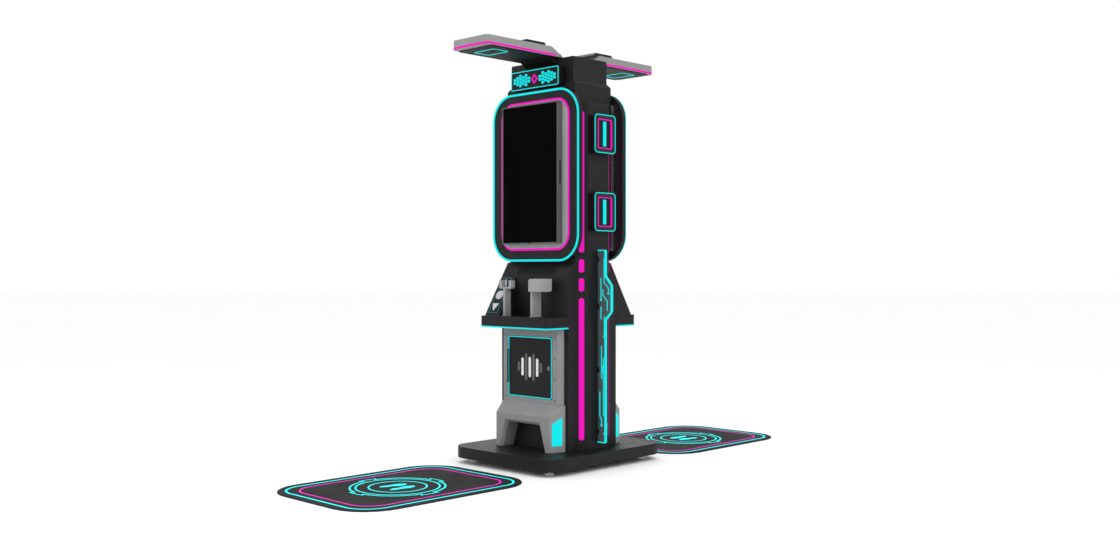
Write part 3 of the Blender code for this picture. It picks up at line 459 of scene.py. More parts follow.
def soften(bm, width):
    """Round the shape's outward edges."""
    edges = [e for e in bm.edges if e.is_manifold and e.calc_face_angle() > SHARP and e.is_convex]
    if edges:
        round_off(bm, edges, width, 2, clamp=True)


def rounded_face(bm, half_x, half_y, radius, segments=8):
    """One flat face with rounded corners."""
    corners = bmesh.ops.create_grid(bm, x_segments=1, y_segments=1, size=1.0)["verts"]
    bmesh.ops.scale(bm, vec=(half_x, half_y, 1), verts=corners)
    round_off(bm, corners, radius, segments, "VERTICES")
    return bm.faces[:][0]


def plate(half_x, half_y, radius, depth, edge=0.0005, segments=8):
    """A flat plate with rounded corners."""
    bm = bmesh.new()
    rounded_face(bm, half_x, half_y, radius, segments)
    thicken(bm, depth)
    soften(bm, edge)
    return bm


def open_up(bm, face, width):
    """Leave only a band of this width inside a face's outline."""
    bmesh.ops.inset_individual(bm, faces=[face], thickness=width, use_even_offset=True)
    bmesh.ops.delete(bm, geom=[face], context="FACES")


def loop(half_x, half_y, radius, width, depth, edge=0.0008, segments=10):
    """A rounded rectangular strip."""
    bm = bmesh.new()
    open_up(bm, rounded_face(bm, half_x, half_y, radius, segments), width)
    thicken(bm, depth)
    soften(bm, min(edge, width / 4, depth / 2))
    return bm


def hoop(radius, width, depth, segments=72):
    """A flat ring."""
    bm = bmesh.new()
    bmesh.ops.create_circle(bm, cap_ends=True, radius=radius, segments=segments)
    open_up(bm, bm.faces[:][0], width)
    thicken(bm, depth)
    return bm


def block(size, edge=0.001):
    """A box with softened edges."""
    bm = bmesh.new()
    bmesh.ops.create_cube(bm, size=1.0)
    bmesh.ops.scale(bm, vec=size, verts=bm.verts)
    soften(bm, edge)
    return bm


def polygon(points, depth, edge):
    """A flat plate with this outline."""
    bm = bmesh.new()
    bm.faces.new([bm.verts.new((x, y, 0)) for x, y in points])
    thicken(bm, depth)
    soften(bm, edge)
    return bm


def tube(points, radius):
    """A round light guide along a line of points."""
    curve = bpy.data.curves.new("tube", "CURVE")
    curve.dimensions = "3D"
    curve.bevel_depth = radius
    curve.bevel_resolution = 2
    curve.use_fill_caps = True
    spline = curve.splines.new("POLY")
    spline.points.add(len(points) - 1)
    for point, place in zip(spline.points, points):
        point.co = (place[0], place[1], 0, 1)
    helper = bpy.data.objects.new("tube", curve)
    mesh = bpy.data.meshes.new_from_object(helper)
    bm = bmesh.new()
    bm.from_mesh(mesh)
    bpy.data.objects.remove(helper)
    bpy.data.curves.remove(curve)
    bpy.data.meshes.remove(mesh)
    bmesh.ops.remove_doubles(bm, verts=bm.verts, dist=0.00001)
    return bm


def moved(bm, x=0.0, y=0.0, z=0.0, turn=0.0):
    """The shape, turned about its Z and then shifted."""
    place = Matrix.Translation((x, y, z)) @ Matrix.Rotation(turn, 4, "Z")
    bmesh.ops.transform(bm, matrix=place, verts=bm.verts)
    return bm


def together(parts):
    """Several shapes as one piece."""
    whole = bmesh.new()
    for part in parts:
        mesh = bpy.data.meshes.new("part")
        part.to_mesh(mesh)
        part.free()
        whole.from_mesh(mesh)
        bpy.data.meshes.remove(mesh)
    return whole


def cut_back(bm, y):
    """Remove what lies behind y, and close the ends."""
    geometry = bm.verts[:] + bm.edges[:] + bm.faces[:]
    result = bmesh.ops.bisect_plane(
        bm, geom=geometry, plane_co=(0, y, 0), plane_no=(0, 1, 0), clear_outer=True)
    ends = [e for e in result["geom_cut"] if isinstance(e, bmesh.types.BMEdge)]
    bmesh.ops.holes_fill(bm, edges=ends)
    return bm


def band(half_x, reach, radius, width, tall, low, back, edge=0.0):
    """A strip round the front and sides of a shelf that reaches forward, from back to front."""
    centre = 0.1
    bm = bmesh.new()
    open_up(bm, rounded_face(bm, half_x, reach - centre, radius, 10), width)
    thicken(bm, tall)
    if edge:
        soften(bm, edge)
    return cut_back(moved(bm, 0, -centre, low), back)


def screw_head(radius):
    """A pan head with a hexagonal socket."""
    bm = bmesh.new()
    bmesh.ops.create_circle(bm, cap_ends=True, radius=radius, segments=18)
    thicken(bm, radius * 0.55)
    top = max(bm.faces, key=lambda f: f.calc_center_median().z)
    round_off(bm, top.edges[:], radius * 0.25, 2)
    top = max(bm.faces, key=lambda f: (round(f.calc_center_median().z, 6), f.calc_area()))
    bmesh.ops.inset_individual(bm, faces=[top], thickness=radius * 0.35, use_even_offset=True)
    bmesh.ops.translate(bm, vec=(0, 0, -radius * 0.35), verts=top.verts)
    return bm


def screws(places):
    """One piece of all the screw heads at these places."""
    radius = bpy.context.scene.dance_trims.screw_radius
    return together([moved(screw_head(radius), *place) for place in places])


def slots(count, pitch, half_wide, half_long, depth):
    """A row of raised louvres."""
    start = -(count - 1) / 2 * pitch
    return together([
        moved(plate(half_wide, half_long, half_wide * 0.95, depth, depth / 3, 3), start + step * pitch)
        for step in range(count)])


def show(name, bm, material, place=None, body="tower", stands_for=()):
    """Finish a piece: put it in place, give it its finish, and let it ride on its body."""
    if place is not None:
        bmesh.ops.transform(bm, matrix=place, verts=bm.verts)
    mesh = bpy.data.meshes.new(name)
    bm.to_mesh(mesh)
    bm.free()
    mesh.shade_smooth()
    mesh.set_sharp_from_angle(angle=SHARP)
    mesh.materials.append(bpy.data.materials[f"{material}_finish"])
    piece = bpy.data.objects.new(name, mesh)
    bpy.context.scene.collection.objects.link(piece)
    weighting = piece.modifiers.new("even_shading", "WEIGHTED_NORMAL")
    weighting.keep_sharp = True
    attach(piece, body)
    if stands_for:
        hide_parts(*stands_for)


def light(name, bm, colour, place, body="tower"):
    """A light strip, with the light finish of its colour."""
    show(name, bm, f"{colour}_light", place, body)


def middle(node):
    low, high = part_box(node)
    return (low + high) / 2


def half_size(node):
    low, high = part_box(node)
    return (high - low) / 2


# ---- the solids' own surfaces -----------------------------------------------------------------
# A part takes the finish of the longest of these that its name ends with.
FINISH_OF = {
    "plinth": "black_coat", "column": "black_coat", "neck": "black_coat", "power_supply": "zinc_steel",
    "foot": "foot_rubber", "mat": "mat_rubber", "speaker": "black_plastic",
    "light_fin": "smoked_acrylic",
    "screen_surround": "black_coat", "screen_frame": "zinc_steel", "monitor": "monitor_plastic",
    "screen": "screen_glass", "sign": "gloss_black", "canopy": "grey_coat", "cabinet": "black_coat",
    "computer": "circuit_board", "door_housing": "grey_coat", "kick_housing": "grey_coat",
    "door": "gloss_black", "door_hinge": "grey_coat", "door_lock": "lock_chrome", "tray": "black_coat",
    "control_fin": "black_coat", "button_plate": "gloss_black", "switch_board": "circuit_board",
    "button_up": "button_plastic", "button_select": "button_plastic", "button_down": "button_plastic",
    "reader_stand": "stand_plastic", "cradle_stand": "stand_plastic",
}
# How many times rounder than the usual edge a part is.
ROUNDER = {"plinth": 4.0, "mat": 2.5, "tray": 2.0, "stand": 1.5, "foot": 2.0, "button": 0.8,
           "surround": 2.0, "canopy": 1.5, "monitor": 1.2, "speaker": 2.0}
# Inner and bought-in parts keep the edges that they have.
LEFT_AS_THEY_ARE = (
    "switch_board", "computer", "power_supply", "screen_frame", "door_lock", "door_hinge")


def finish_of(node):
    endings = [ending for ending in FINISH_OF if node.endswith(ending)]
    return FINISH_OF[max(endings, key=len)]


class DANCE_OT_finishes(bpy.types.Operator):
    """Make every finish and light"""
    bl_idname = "dance.finishes"
    bl_label = "Finishes"

    def execute(self, context):
        lights = context.scene.dance_lights
        finishes = context.scene.dance_finishes
        powder_coat("black_coat", tuple(finishes.body))
        powder_coat("grey_coat", tuple(finishes.housing), 0.5)
        moulded_plastic("black_plastic", (0.008, 0.008, 0.0082), 0.42)
        moulded_plastic("monitor_plastic", (0.085, 0.085, 0.086), 0.4)
        # Painted shade: a darker copy of the black body coat, for the canopy's underside, its downlight
        # lens and the hood grille's louvres, where shade falls.
        powder_coat("shade_painted_black", shade(finishes.body, 0.5), 0.6)
        moulded_plastic("panel_plastic", (0.29, 0.29, 0.292), 0.5)
        moulded_plastic("stand_plastic", tuple(finishes.stand), 0.48)
        moulded_plastic("button_plastic", tuple(finishes.button), 0.3, 1500)
        gloss_panel("gloss_black", (0.0055, 0.0055, 0.0058))
        screen_glass()
        light_strip("cyan_light", tuple(lights.cyan), lights.strength)
        light_strip("magenta_light", tuple(lights.magenta), lights.strength)
        light_strip("dim_cyan_light", shade(lights.cyan, 0.42), lights.strength)
        # Inks with a painted glow: each emits light at the given strength, though print is no lamp.
        printed_ink_with_painted_glow("cyan_ink_painted_glow", tuple(lights.cyan), 0.55)
        printed_ink_with_painted_glow("magenta_ink_painted_glow", tuple(lights.magenta), 0.5)
        printed_ink_with_painted_glow("grey_ink_painted_glow", (0.11, 0.11, 0.11), 0.1)
        printed_ink_with_painted_glow("white_ink_painted_glow", (0.72, 0.72, 0.72), 0.1)
        mat_rubber()
        smoked_acrylic(tuple(finishes.acrylic))
        brushed_metal("zinc_steel", (0.46, 0.46, 0.47), 0.34)
        brushed_metal("lock_chrome", (0.16, 0.16, 0.165), 0.2)
        brushed_metal("black_steel", (0.05, 0.05, 0.052), 0.38)
        circuit_board()
        speaker_mesh()
        foot_rubber()
        return {"FINISHED"}


class DANCE_OT_surfaces(bpy.types.Operator):
    """Round the solids' outer edges and give each its finish"""
    bl_idname = "dance.surfaces"
    bl_label = "Surfaces"

    def execute(self, context):
        edge = context.scene.dance_finishes.edge
        for node, solid in frame["nodes"].items():
            if any(word in node for word in LEFT_AS_THEY_ARE):
                solid.data.materials.clear()
                solid.data.materials.append(bpy.data.materials[f"{finish_of(node)}_finish"])
                continue
            body = solid["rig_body"]
            bm = bmesh.new()
            bm.from_mesh(solid.data)
            bmesh.ops.remove_doubles(bm, verts=bm.verts, dist=0.00002)
            bmesh.ops.dissolve_limit(
                bm, angle_limit=math.radians(0.5), verts=bm.verts[:], edges=bm.edges[:], delimit=set())
            rounder = [factor for word, factor in ROUNDER.items() if word in node]
            soften(bm, edge * (rounder[0] if rounder else 1.0))
            show(f"{node}_surface", bm, finish_of(node), None, body, [node])
        return {"FINISHED"}


# ---- screens and signs ------------------------------------------------------------------------
class DANCE_OT_screens(bpy.types.Operator):
    """Rim light, magenta outline, backing panel and bezel of each screen"""
    bl_idname = "dance.screens"
    bl_label = "Screens"

    def execute(self, context):
        lights = context.scene.dance_lights
        half = half_size("front_screen_surround")
        centre = middle("front_screen_surround")
        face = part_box("front_screen_surround")[0].y
        picture = half_size("front_screen")
        bezel = half_size("front_monitor")
        monitor = middle("front_monitor")
        monitor_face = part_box("front_monitor")[0].y
        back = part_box("front_screen_surround")[1].y
        corner = 0.185
        outline_x = half.x - 0.087
        outline_z = half.z - 0.070
        panel_x = outline_x - lights.outline_width
        panel_z = outline_z - lights.outline_width
        vent_places = [
            (x_sign * bezel.x, (step - 6.5) * 0.011) for x_sign in (-1, 1) for step in range(14)]
        bolts = [(x_sign * (half.x - 0.045), z, 0.0) for x_sign in (-1, 1) for z in (-0.34, 0, 0.34)]
        for side, turn in SIDES.items():
            place = turn @ seat((0, face, centre.z))
            rim = loop(half.x, half.z, corner, lights.rim_width, 2 * lights.proud, 0.0015, 20)
            light(f"{side}_rim_light", rim, "cyan", place)
            show(f"{side}_surround_back",
                 loop(half.x - 0.004, half.z - 0.004, corner - 0.004, 0.068, 0.002, 0.0005, 20),
                 "black_coat", turn @ seat((0, back + 0.0005, centre.z), BACK))
            raised = turn @ seat((0, face, monitor.z - 0.008))
            outline = loop(
                outline_x, outline_z, corner - 0.069, lights.outline_width, lights.proud, 0.001, 16)
            light(f"{side}_screen_outline", outline, "magenta", raised)
            show(f"{side}_backing_panel", plate(panel_x, panel_z, corner - 0.084, 0.010, 0.0012, 16),
                 "panel_plastic", raised)
            front = turn @ seat((0, monitor_face, monitor.z))
            show(f"{side}_bezel", loop(bezel.x, bezel.z, 0.004, bezel.x - picture.x, 0.0015, 0.0005, 4),
                 "monitor_plastic", front)
            show(f"{side}_standby_window",
                 moved(plate(0.011, 0.0018, 0.0017, 0.0006, 0.0002, 4), 0, -bezel.z + 0.004, 0.0014),
                 "gloss_black", front)
            vents = [moved(block((0.0012, 0.006, 0.022), 0.0004), x, y, -0.022) for x, y in vent_places]
            show(f"{side}_monitor_vents", together(vents), "gloss_black", front)
            show(f"{side}_surround_screws", screws(bolts), "black_steel", place)
        return {"FINISHED"}


class DANCE_OT_signs(bpy.types.Operator):
    """Outline and plain level-meter motif of each sign"""
    bl_idname = "dance.signs"
    bl_label = "Signs"

    def execute(self, context):
        lights = context.scene.dance_lights
        half = half_size("front_sign")
        centre = middle("front_sign")
        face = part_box("front_sign")[0].y
        neck_face = -0.180
        levels = (2, 4, 3, 4, 3, 2)
        steps = [
            (sign * (0.054 + column * 0.028), (row - (count - 1) / 2) * 0.022)
            for sign in (-1, 1) for column, count in enumerate(levels) for row in range(count)]
        corners = [(x * (half.x + 0.035), y * 0.045, 0.0) for x in (-1, 1) for y in (-1, 1)]
        for side, turn in SIDES.items():
            place = turn @ seat((0, face, centre.z))
            outline = loop(half.x - 0.002, half.z - 0.002, 0.012, lights.line_width, lights.proud)
            light(f"{side}_sign_outline", outline, "cyan", place)
            meter = [
                moved(plate(0.0112, 0.0088, 0.002, lights.proud, 0.0005, 3), x, y) for x, y in steps]
            light(f"{side}_sign_meter", together(meter), "cyan", place)
            diamond = moved(loop(0.024, 0.024, 0.004, 0.011, lights.proud, 0.0006, 4), turn=math.pi / 4)
            light(f"{side}_sign_diamond", diamond, "magenta", place)
            show(f"{side}_neck_screws", screws(corners), "black_steel",
                 turn @ seat((0, neck_face, centre.z - 0.11)))
        return {"FINISHED"}


# ---- canopies ---------------------------------------------------------------------------------
class DANCE_OT_canopies(bpy.types.Operator):
    """Magenta line, downlight, driver cover and screws of each canopy"""
    bl_idname = "dance.canopies"
    bl_label = "Canopies"

    def execute(self, context):
        lights = context.scene.dance_lights
        low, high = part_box("front_canopy")
        half_x = high.x
        driver_y = -0.340
        cover_low = high.z - 0.0140
        sheet_top = high.z - 0.029
        slant_out = Vector((0, 0.063, 0.112)).normalized()
        slant_up = Vector((0, -0.112, 0.063)).normalized()
        bolts = [(x * 0.125, y * 0.085, 0.0) for x in (-1, 1) for y in (-1, 1)]
        rows = [(x * 0.155, y * 0.19, 0.0) for x in (-1, 1) for y in (-1, 0, 1)]
        for side, turn in SIDES.items():
            line = band(
                half_x + 0.0015, 0.0015 - low.y, 0.031, 0.004, 0.014, low.z + 0.003, -0.205, 0.001)
            light(f"{side}_canopy_line", line, "magenta", turn)
            under = turn @ underneath(-0.640, low.z - 0.0060)
            # The pan under the canopy is painted darker than the body coat: painted shade under the
            # canopy.
            show(f"{side}_canopy_pan", plate(half_x - 0.006, 0.313, 0.022, 0.006, 0.003), "shade_painted_black",
                 turn @ underneath(-0.473, low.z - 0.0005))
            ring = loop(0.1, 0.068, 0.014, lights.line_width + 0.001, 0.003)
            light(f"{side}_downlight", ring, "cyan", under)
            # The downlight's lens takes the same darker coat: painted shade under the canopy.
            show(f"{side}_downlight_lens", plate(0.09, 0.058, 0.008, 0.0015), "shade_painted_black", under)
            show(f"{side}_downlight_screws", screws(bolts), "black_steel", under)
            cover = block((0.250, 0.200, 0.034), 0.003)
            for vertex in cover.verts:
                if vertex.co.z > 0:
                    vertex.co.y *= 0.86
                    vertex.co.x *= 0.96
            show(f"{side}_driver_cover", moved(cover, 0, driver_y, cover_low), "black_coat", turn)
            slant = turn @ seat((0, -0.186, 2.8235), slant_out, slant_up)
            parts = [moved(plate(0.168, 0.022, 0.003, 0.0012), 0, 0.036)]
            parts += [moved(plate(0.0105, 0.060, 0.003, 0.0012), x * 0.1585, -0.001) for x in (-1, 1)]
            show(f"{side}_canopy_slant_cover", together(parts), "black_coat", slant)
            top = turn @ on_top(0, driver_y, high.z + 0.0028)
            vent = slots(context.scene.dance_trims.vent_slots, 0.018, 0.004, 0.05, 0.0015)
            show(f"{side}_driver_vent", vent, "black_plastic", top)
            roof = turn @ on_top(0, -0.60, sheet_top)
            show(f"{side}_canopy_screws", screws(rows), "black_steel", roof)
            show(f"{side}_canopy_seam", loop(0.164, 0.215, 0.022, 0.0015, 0.0004, 0.0001, 8),
                 "black_plastic", roof)
        return {"FINISHED"}


# ---- cabinet, tray, door and kick housing -----------------------------------------------------
class DANCE_OT_consoles(bpy.types.Operator):
    """Hood grille, tray light, stand flanges and button plate outline of each console"""
    bl_idname = "dance.consoles"
    bl_label = "Consoles"

    def execute(self, context):
        grille_slots = context.scene.dance_trims.grille_slots
        tray_low, tray_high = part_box("front_tray")
        reach = -tray_low.y
        cabinet_face = -0.2415
        hood_top = Vector((0, -0.184, 1.390))
        hood_foot = Vector((0, -0.403, 1.022))
        up_slope = (hood_top - hood_foot).normalized()
        out_slope = Vector((0, -up_slope.z, up_slope.y))
        grille_place = hood_foot + up_slope * 0.367
        plate_place = middle("front_button_plate") + out_slope * 0.0018
        post_half = 0.010
        stands = (
            ("reader_stand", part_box("front_reader_stand")[0].x + post_half, -0.3375, 0.052),
            ("cradle_stand", middle("front_cradle_stand").x, -0.352, 0.036))
        for side, turn in SIDES.items():
            # The grille's louvres take the darker copy of the body coat: painted shade for the slots
            # between them.
            grille = slots(grille_slots, 0.0103, 0.0026, 0.033, 0.0012)
            show(f"{side}_hood_grille", grille, "shade_painted_black",
                 turn @ seat(grille_place, out_slope, up_slope))
            strip = band(tray_high.x + 0.002, reach + 0.002, 0.022, 0.010, 0.010, tray_low.z - 0.0095,
                         cabinet_face, 0.0015)
            light(f"{side}_tray_light", strip, "cyan", turn)
            seam = band(tray_high.x + 0.0008, reach + 0.0008, 0.0208, 0.003, 0.0015,
                        tray_high.z - 0.0115, cabinet_face)
            show(f"{side}_tray_seam", seam, "black_plastic", turn)
            show(f"{side}_button_outline", loop(0.0455, 0.1405, 0.008, 0.0024, 0.0008, 0.0003, 6),
                 "dim_cyan_light", turn @ seat(plate_place, out_slope, up_slope))
            for stand, foot_x, foot_y, half_y in stands:
                foot = turn @ on_top(foot_x, foot_y, tray_high.z)
                show(f"{side}_{stand}_flange", plate(0.018, half_y, 0.006, 0.0025, 0.0008, 6),
                     "stand_plastic", foot)
                ends = [(0, y * (half_y - 0.0055), 0.0022) for y in (-1, 1)]
                show(f"{side}_{stand}_screws", screws(ends), "zinc_steel", foot)
        return {"FINISHED"}


class DANCE_OT_doors(bpy.types.Operator):
    """Outline, motif and lock rose of each door, and the lights and screws of the housings"""
    bl_idname = "dance.doors"
    bl_label = "Doors and housings"

    def execute(self, context):
        line_width = context.scene.dance_lights.line_width
        half_x = 0.214
        half_z = half_size("front_door").z
        centre_z = middle("front_door").z
        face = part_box("front_door_housing")[0].y
        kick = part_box("front_kick_housing")[1]
        lock = middle("front_door_lock")
        bar_heights = (0.034, 0.062, 0.094, 0.070, 0.094, 0.062, 0.034)
        bumper_x = half_x - 0.0135
        fixed = [(x * 0.242, y, 0.0) for x in (-1, 1) for y in (-0.215, -0.07, 0.07, 0.215)]
        clear_of_hinge = [spot for spot in fixed if spot[0] > 0 or abs(spot[1]) > 0.2]
        for side, turn in SIDES.items():
            place = turn @ seat((0, face, centre_z))
            body = f"{side}_door"
            outline = loop(half_x - 0.0015, half_z - 0.0015, 0.016, line_width, 0.0018, 0.0005, 8)
            light(f"{side}_door_outline", outline, "cyan", place, body)
            bars = [
                moved(plate(0.0115, tall, 0.011, 0.0008, 0.0003, 6), (step - 3) * 0.036, 0.0)
                for step, tall in enumerate(bar_heights)]
            show(f"{side}_door_motif", together(bars[::2]), "grey_ink_painted_glow", place, body)
            show(f"{side}_door_motif_accent", together(bars[1::2]), "white_ink_painted_glow", place, body)
            show(f"{side}_lock_rose", moved(hoop(0.0165, 0.0045, 0.0012, 32), lock.x), "lock_chrome",
                 place, body)
            pads = [moved(block((0.012, 0.004, 0.003), 0.0008), bumper_x, z) for z in (-0.12, 0.12)]
            show(f"{side}_door_bumpers", together(pads), "foot_rubber",
                 turn @ seat((0, face + 0.0175, centre_z)), body)
            show(f"{side}_housing_screws", screws(clear_of_hinge), "black_steel", place)
            for x_sign, name in ((1, "right"), (-1, "left")):
                near = Vector((x_sign * 0.258, -0.357, 0))
                far = Vector((x_sign * kick.x, kick.y, 0))
                along = (far - near).normalized()
                out = Vector((-along.y, along.x, 0)) * -x_sign
                flip = 1 if UP.cross(out).dot(along) > 0 else -1
                start = flip * (far - near).length * 0.18
                end = flip * (far - near).length * 0.81
                window = polygon(
                    [(start, 0.160), (end, 0.160), (end, 0.349), (start, 0.308)], 0.0022, 0.0008)
                light(f"{side}_{name}_kick_light", window, "cyan", turn @ seat(near, out))
        return {"FINISHED"}


# ---- column, speakers and light fins ----------------------------------------------------------
class DANCE_OT_column(bpy.types.Operator):
    """Magenta bars on the column's corners, seams, and the power inlet"""
    bl_idname = "dance.column"
    bl_label = "Column"

    def execute(self, context):
        lights = context.scene.dance_lights
        half = half_size("column")
        chamfer = 0.0635
        bar_half = lights.bar_width / 2
        spans = ((0.1895, 1.147), (1.194, 1.282), (1.322, 1.410), (1.457, 2.406))
        for x_sign, x_name in ((1, "right"), (-1, "left")):
            for y_sign, y_name in ((-1, "front"), (1, "rear")):
                out = Vector((x_sign, y_sign, 0))
                spot = Vector((x_sign * (half.x - chamfer / 2), y_sign * (half.y - chamfer / 2), 0))
                for number, (low, high) in enumerate(spans):
                    place = seat(spot + UP * (low + high) / 2, out)
                    bar = plate(bar_half, (high - low) / 2, 0.013, lights.proud, 0.001, 8)
                    light(f"{y_name}_{x_name}_corner_bar_{number + 1}", bar, "magenta", place)
        spots = [(y, z, 0.0) for y in (-0.088, 0.088) for z in (0.16, 0.60, 1.05, 1.53, 1.93, 2.44)]
        for x_sign, name in ((1, "right"), (-1, "left")):
            place = seat((x_sign * half.x, 0, 0), (x_sign, 0, 0))
            seams = [
                moved(plate(0.0006, 1.0, 0.0003, 0.0004, 0.0001, 2), y, 1.3) for y in (-0.098, 0.098)]
            show(f"{name}_column_seams", together(seams), "black_plastic", place)
            show(f"{name}_column_screws", screws(spots), "black_steel", place)
        inlet = seat((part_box("plinth")[0].x, 0.28, middle("plinth").z), (-1, 0, 0))
        show("inlet_shell", loop(0.024, 0.0165, 0.003, 0.005, 0.005, 0.001, 4), "black_plastic", inlet)
        show("inlet_floor", plate(0.020, 0.0125, 0.002, 0.0008, 0.0002, 4), "gloss_black", inlet)
        pins = [
            moved(block((0.0018, 0.006, 0.006), 0.0004), x, y, 0.002)
            for x, y in ((-0.007, 0.002), (0.0, -0.003), (0.007, 0.002))]
        show("inlet_pins", together(pins), "zinc_steel", inlet)
        show("inlet_screws", screws([(x, 0, 0.0) for x in (-0.033, 0.033)]), "zinc_steel", inlet)
        return {"FINISHED"}


class DANCE_OT_speakers(bpy.types.Operator):
    """Outline, light frame, mesh and light bar of each speaker"""
    bl_idname = "dance.speakers"
    bl_label = "Speakers"

    def execute(self, context):
        lights = context.scene.dance_lights
        for side, x_sign in (("right", 1), ("left", -1)):
            for level in ("upper", "lower"):
                node = f"{side}_{level}_speaker"
                half = half_size(node)
                face_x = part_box(node)[1 if x_sign > 0 else 0].x
                centre_z = middle(node).z
                out = Vector((x_sign, 0, 0))
                place = seat((face_x, 0, centre_z), out)
                light(f"{node}_outline", loop(half.y, half.z, 0.028, lights.line_width, lights.proud),
                      "cyan", place)
                floor = seat((face_x - x_sign * 0.012, 0, centre_z), out)
                light(f"{node}_frame", loop(0.070, 0.100, 0.014, lights.line_width, 0.0125), "magenta",
                      floor)
                show(f"{node}_mesh", plate(0.0635, 0.0935, 0.008, 0.004, 0.0008), "speaker_mesh", floor)
                light(f"{node}_bar", plate(0.0125, 0.083, 0.003, 0.0115, 0.001, 4), "cyan", floor)
                spots = [(y * 0.087, z * 0.114, 0.0) for y in (-1, 1) for z in (-1, 1)]
                show(f"{node}_screws", screws(spots), "black_steel", place)
        return {"FINISHED"}


def fin_edge_strip(thick):
    """A band round the fin's outer edge; its fourth side is hidden inside the column."""
    hidden = 0.370
    edge = 0.4497
    bulge = 0.5057
    foot = 0.1645
    top = 1.4755
    bm = bmesh.new()
    outline = (
        (hidden, top), (hidden, foot), (edge, foot), (edge, 1.000), (bulge, 1.054), (bulge, 1.236),
        (edge, 1.297), (edge, top))
    bm.faces.new([bm.verts.new((x, z, -thick / 2)) for x, z in outline])
    round_off(bm, [v for v in bm.verts if v.co.x > hidden], 0.012, 5, "VERTICES")
    open_up(bm, bm.faces[:][0], 0.0072)
    thicken(bm, thick)
    soften(bm, 0.0008)
    return bm


def fin_traces():
    """Each trace runs from its pad, where it has one, along straight and slanting stretches."""
    return [
        (True, [(0.480, 1.180), (0.480, 1.215), (0.441, 1.252), (0.441, 1.418)]),
        (True, [(0.412, 1.136), (0.412, 1.283)]),
        (False, [(0.429, 1.207), (0.429, 1.170), (0.469, 1.127), (0.469, 1.062)]),
        (False, [(0.412, 1.090), (0.412, 1.004)]),
        (True, [(0.441, 0.887), (0.443, 0.912), (0.443, 1.026)]),
        (False, [(0.417, 0.823), (0.417, 0.601)]),
        (False, [(0.4345, 0.743), (0.4345, 0.348)]),
        (False, [(0.4285, 0.690), (0.4285, 0.640)]),
        (True, [(0.417, 0.284), (0.417, 0.326), (0.402, 0.350), (0.402, 0.513)]),
        (True, [(0.444, 0.230), (0.448, 0.256), (0.448, 0.302)]),
    ]


class DANCE_OT_light_fins(bpy.types.Operator):
    """Lit edge and traces of the light fins, on both faces, and their brackets"""
    bl_idname = "dance.light_fins"
    bl_label = "Light fins"

    def execute(self, context):
        radius = context.scene.dance_lights.trace_radius
        thick = half_size("right_light_fin").y
        for side, turn in (("right", Matrix.Identity(4)), ("left", SIDES["rear"])):
            middle_plane = turn @ seat((0, 0, 0))
            light(f"{side}_fin_edge_light", fin_edge_strip(2 * thick + 0.0015), "cyan", middle_plane)
            for face, y in (("front", -thick), ("rear", thick)):
                parts = []
                for has_pad, points in fin_traces():
                    parts.append(tube(points, radius))
                    if has_pad:
                        parts.append(moved(hoop(0.0085, 0.0036, 0.003, 24), *points[0], -0.0015))
                light(f"{side}_fin_{face}_traces", together(parts), "cyan", turn @ seat((0, y, 0)))
            clips = [
                moved(block((0.014, 0.036, 0.026), 0.0015), 0.389, z)
                for z in (0.24, 0.66, 1.09, 1.41)]
            show(f"{side}_fin_clips", together(clips), "black_plastic", middle_plane)
        return {"FINISHED"}


# ---- mats -------------------------------------------------------------------------------------
def arc_band(radius, width, depth, start, end, segments=144):
    """A stretch of a flat ring, from start to end of a full turn."""
    bm = bmesh.new()
    bmesh.ops.create_circle(bm, cap_ends=True, radius=radius, segments=segments)
    open_up(bm, bm.faces[:][0], width)
    outside = []
    for face in bm.faces:
        spot = face.calc_center_median()
        share = (math.atan2(spot.y, spot.x) / math.tau) % 1.0
        if not start <= share <= end:
            outside.append(face)
    bmesh.ops.delete(bm, geom=outside, context="FACES")
    thicken(bm, depth)
    return bm


def footprint(turn, x, y, depth):
    """A shoe's sole: a disc drawn out and pinched at the arch."""
    bm = bmesh.new()
    bmesh.ops.create_circle(bm, cap_ends=True, radius=1.0, segments=56)
    for vertex in bm.verts:
        along = vertex.co.y
        arch = math.exp(-((along + 0.22) / 0.3) ** 2)
        vertex.co.x *= 0.031 * (1 + 0.16 * along) * (1 - 0.42 * arch)
        vertex.co.y *= 0.092
    thicken(bm, depth)
    return moved(bm, x, y, 0, turn)


def target_rings(outer, depth):
    """Two whole rings, and an outer one in four stretches with an arc linked across each gap."""
    gap_arc = 0.322
    link_radius = 0.3085
    rings = [hoop(0.184, 0.010, depth, 96), hoop(0.263, 0.010, depth, 96)]
    for quarter in range(4):
        angle = quarter * math.pi / 2
        start = quarter / 4 + 0.022
        rings.append(arc_band(outer, 0.011, depth, start, start + 0.206))
        rings.append(moved(arc_band(gap_arc, 0.008, depth, 0.215, 0.285), turn=angle - math.pi / 2))
        for at in (angle - 0.175, angle + 0.175):
            link = block((0.022, 0.009, depth), 0.0002)
            rings.append(
                moved(link, math.cos(at) * link_radius, math.sin(at) * link_radius, depth / 2, at))
    return together(rings)


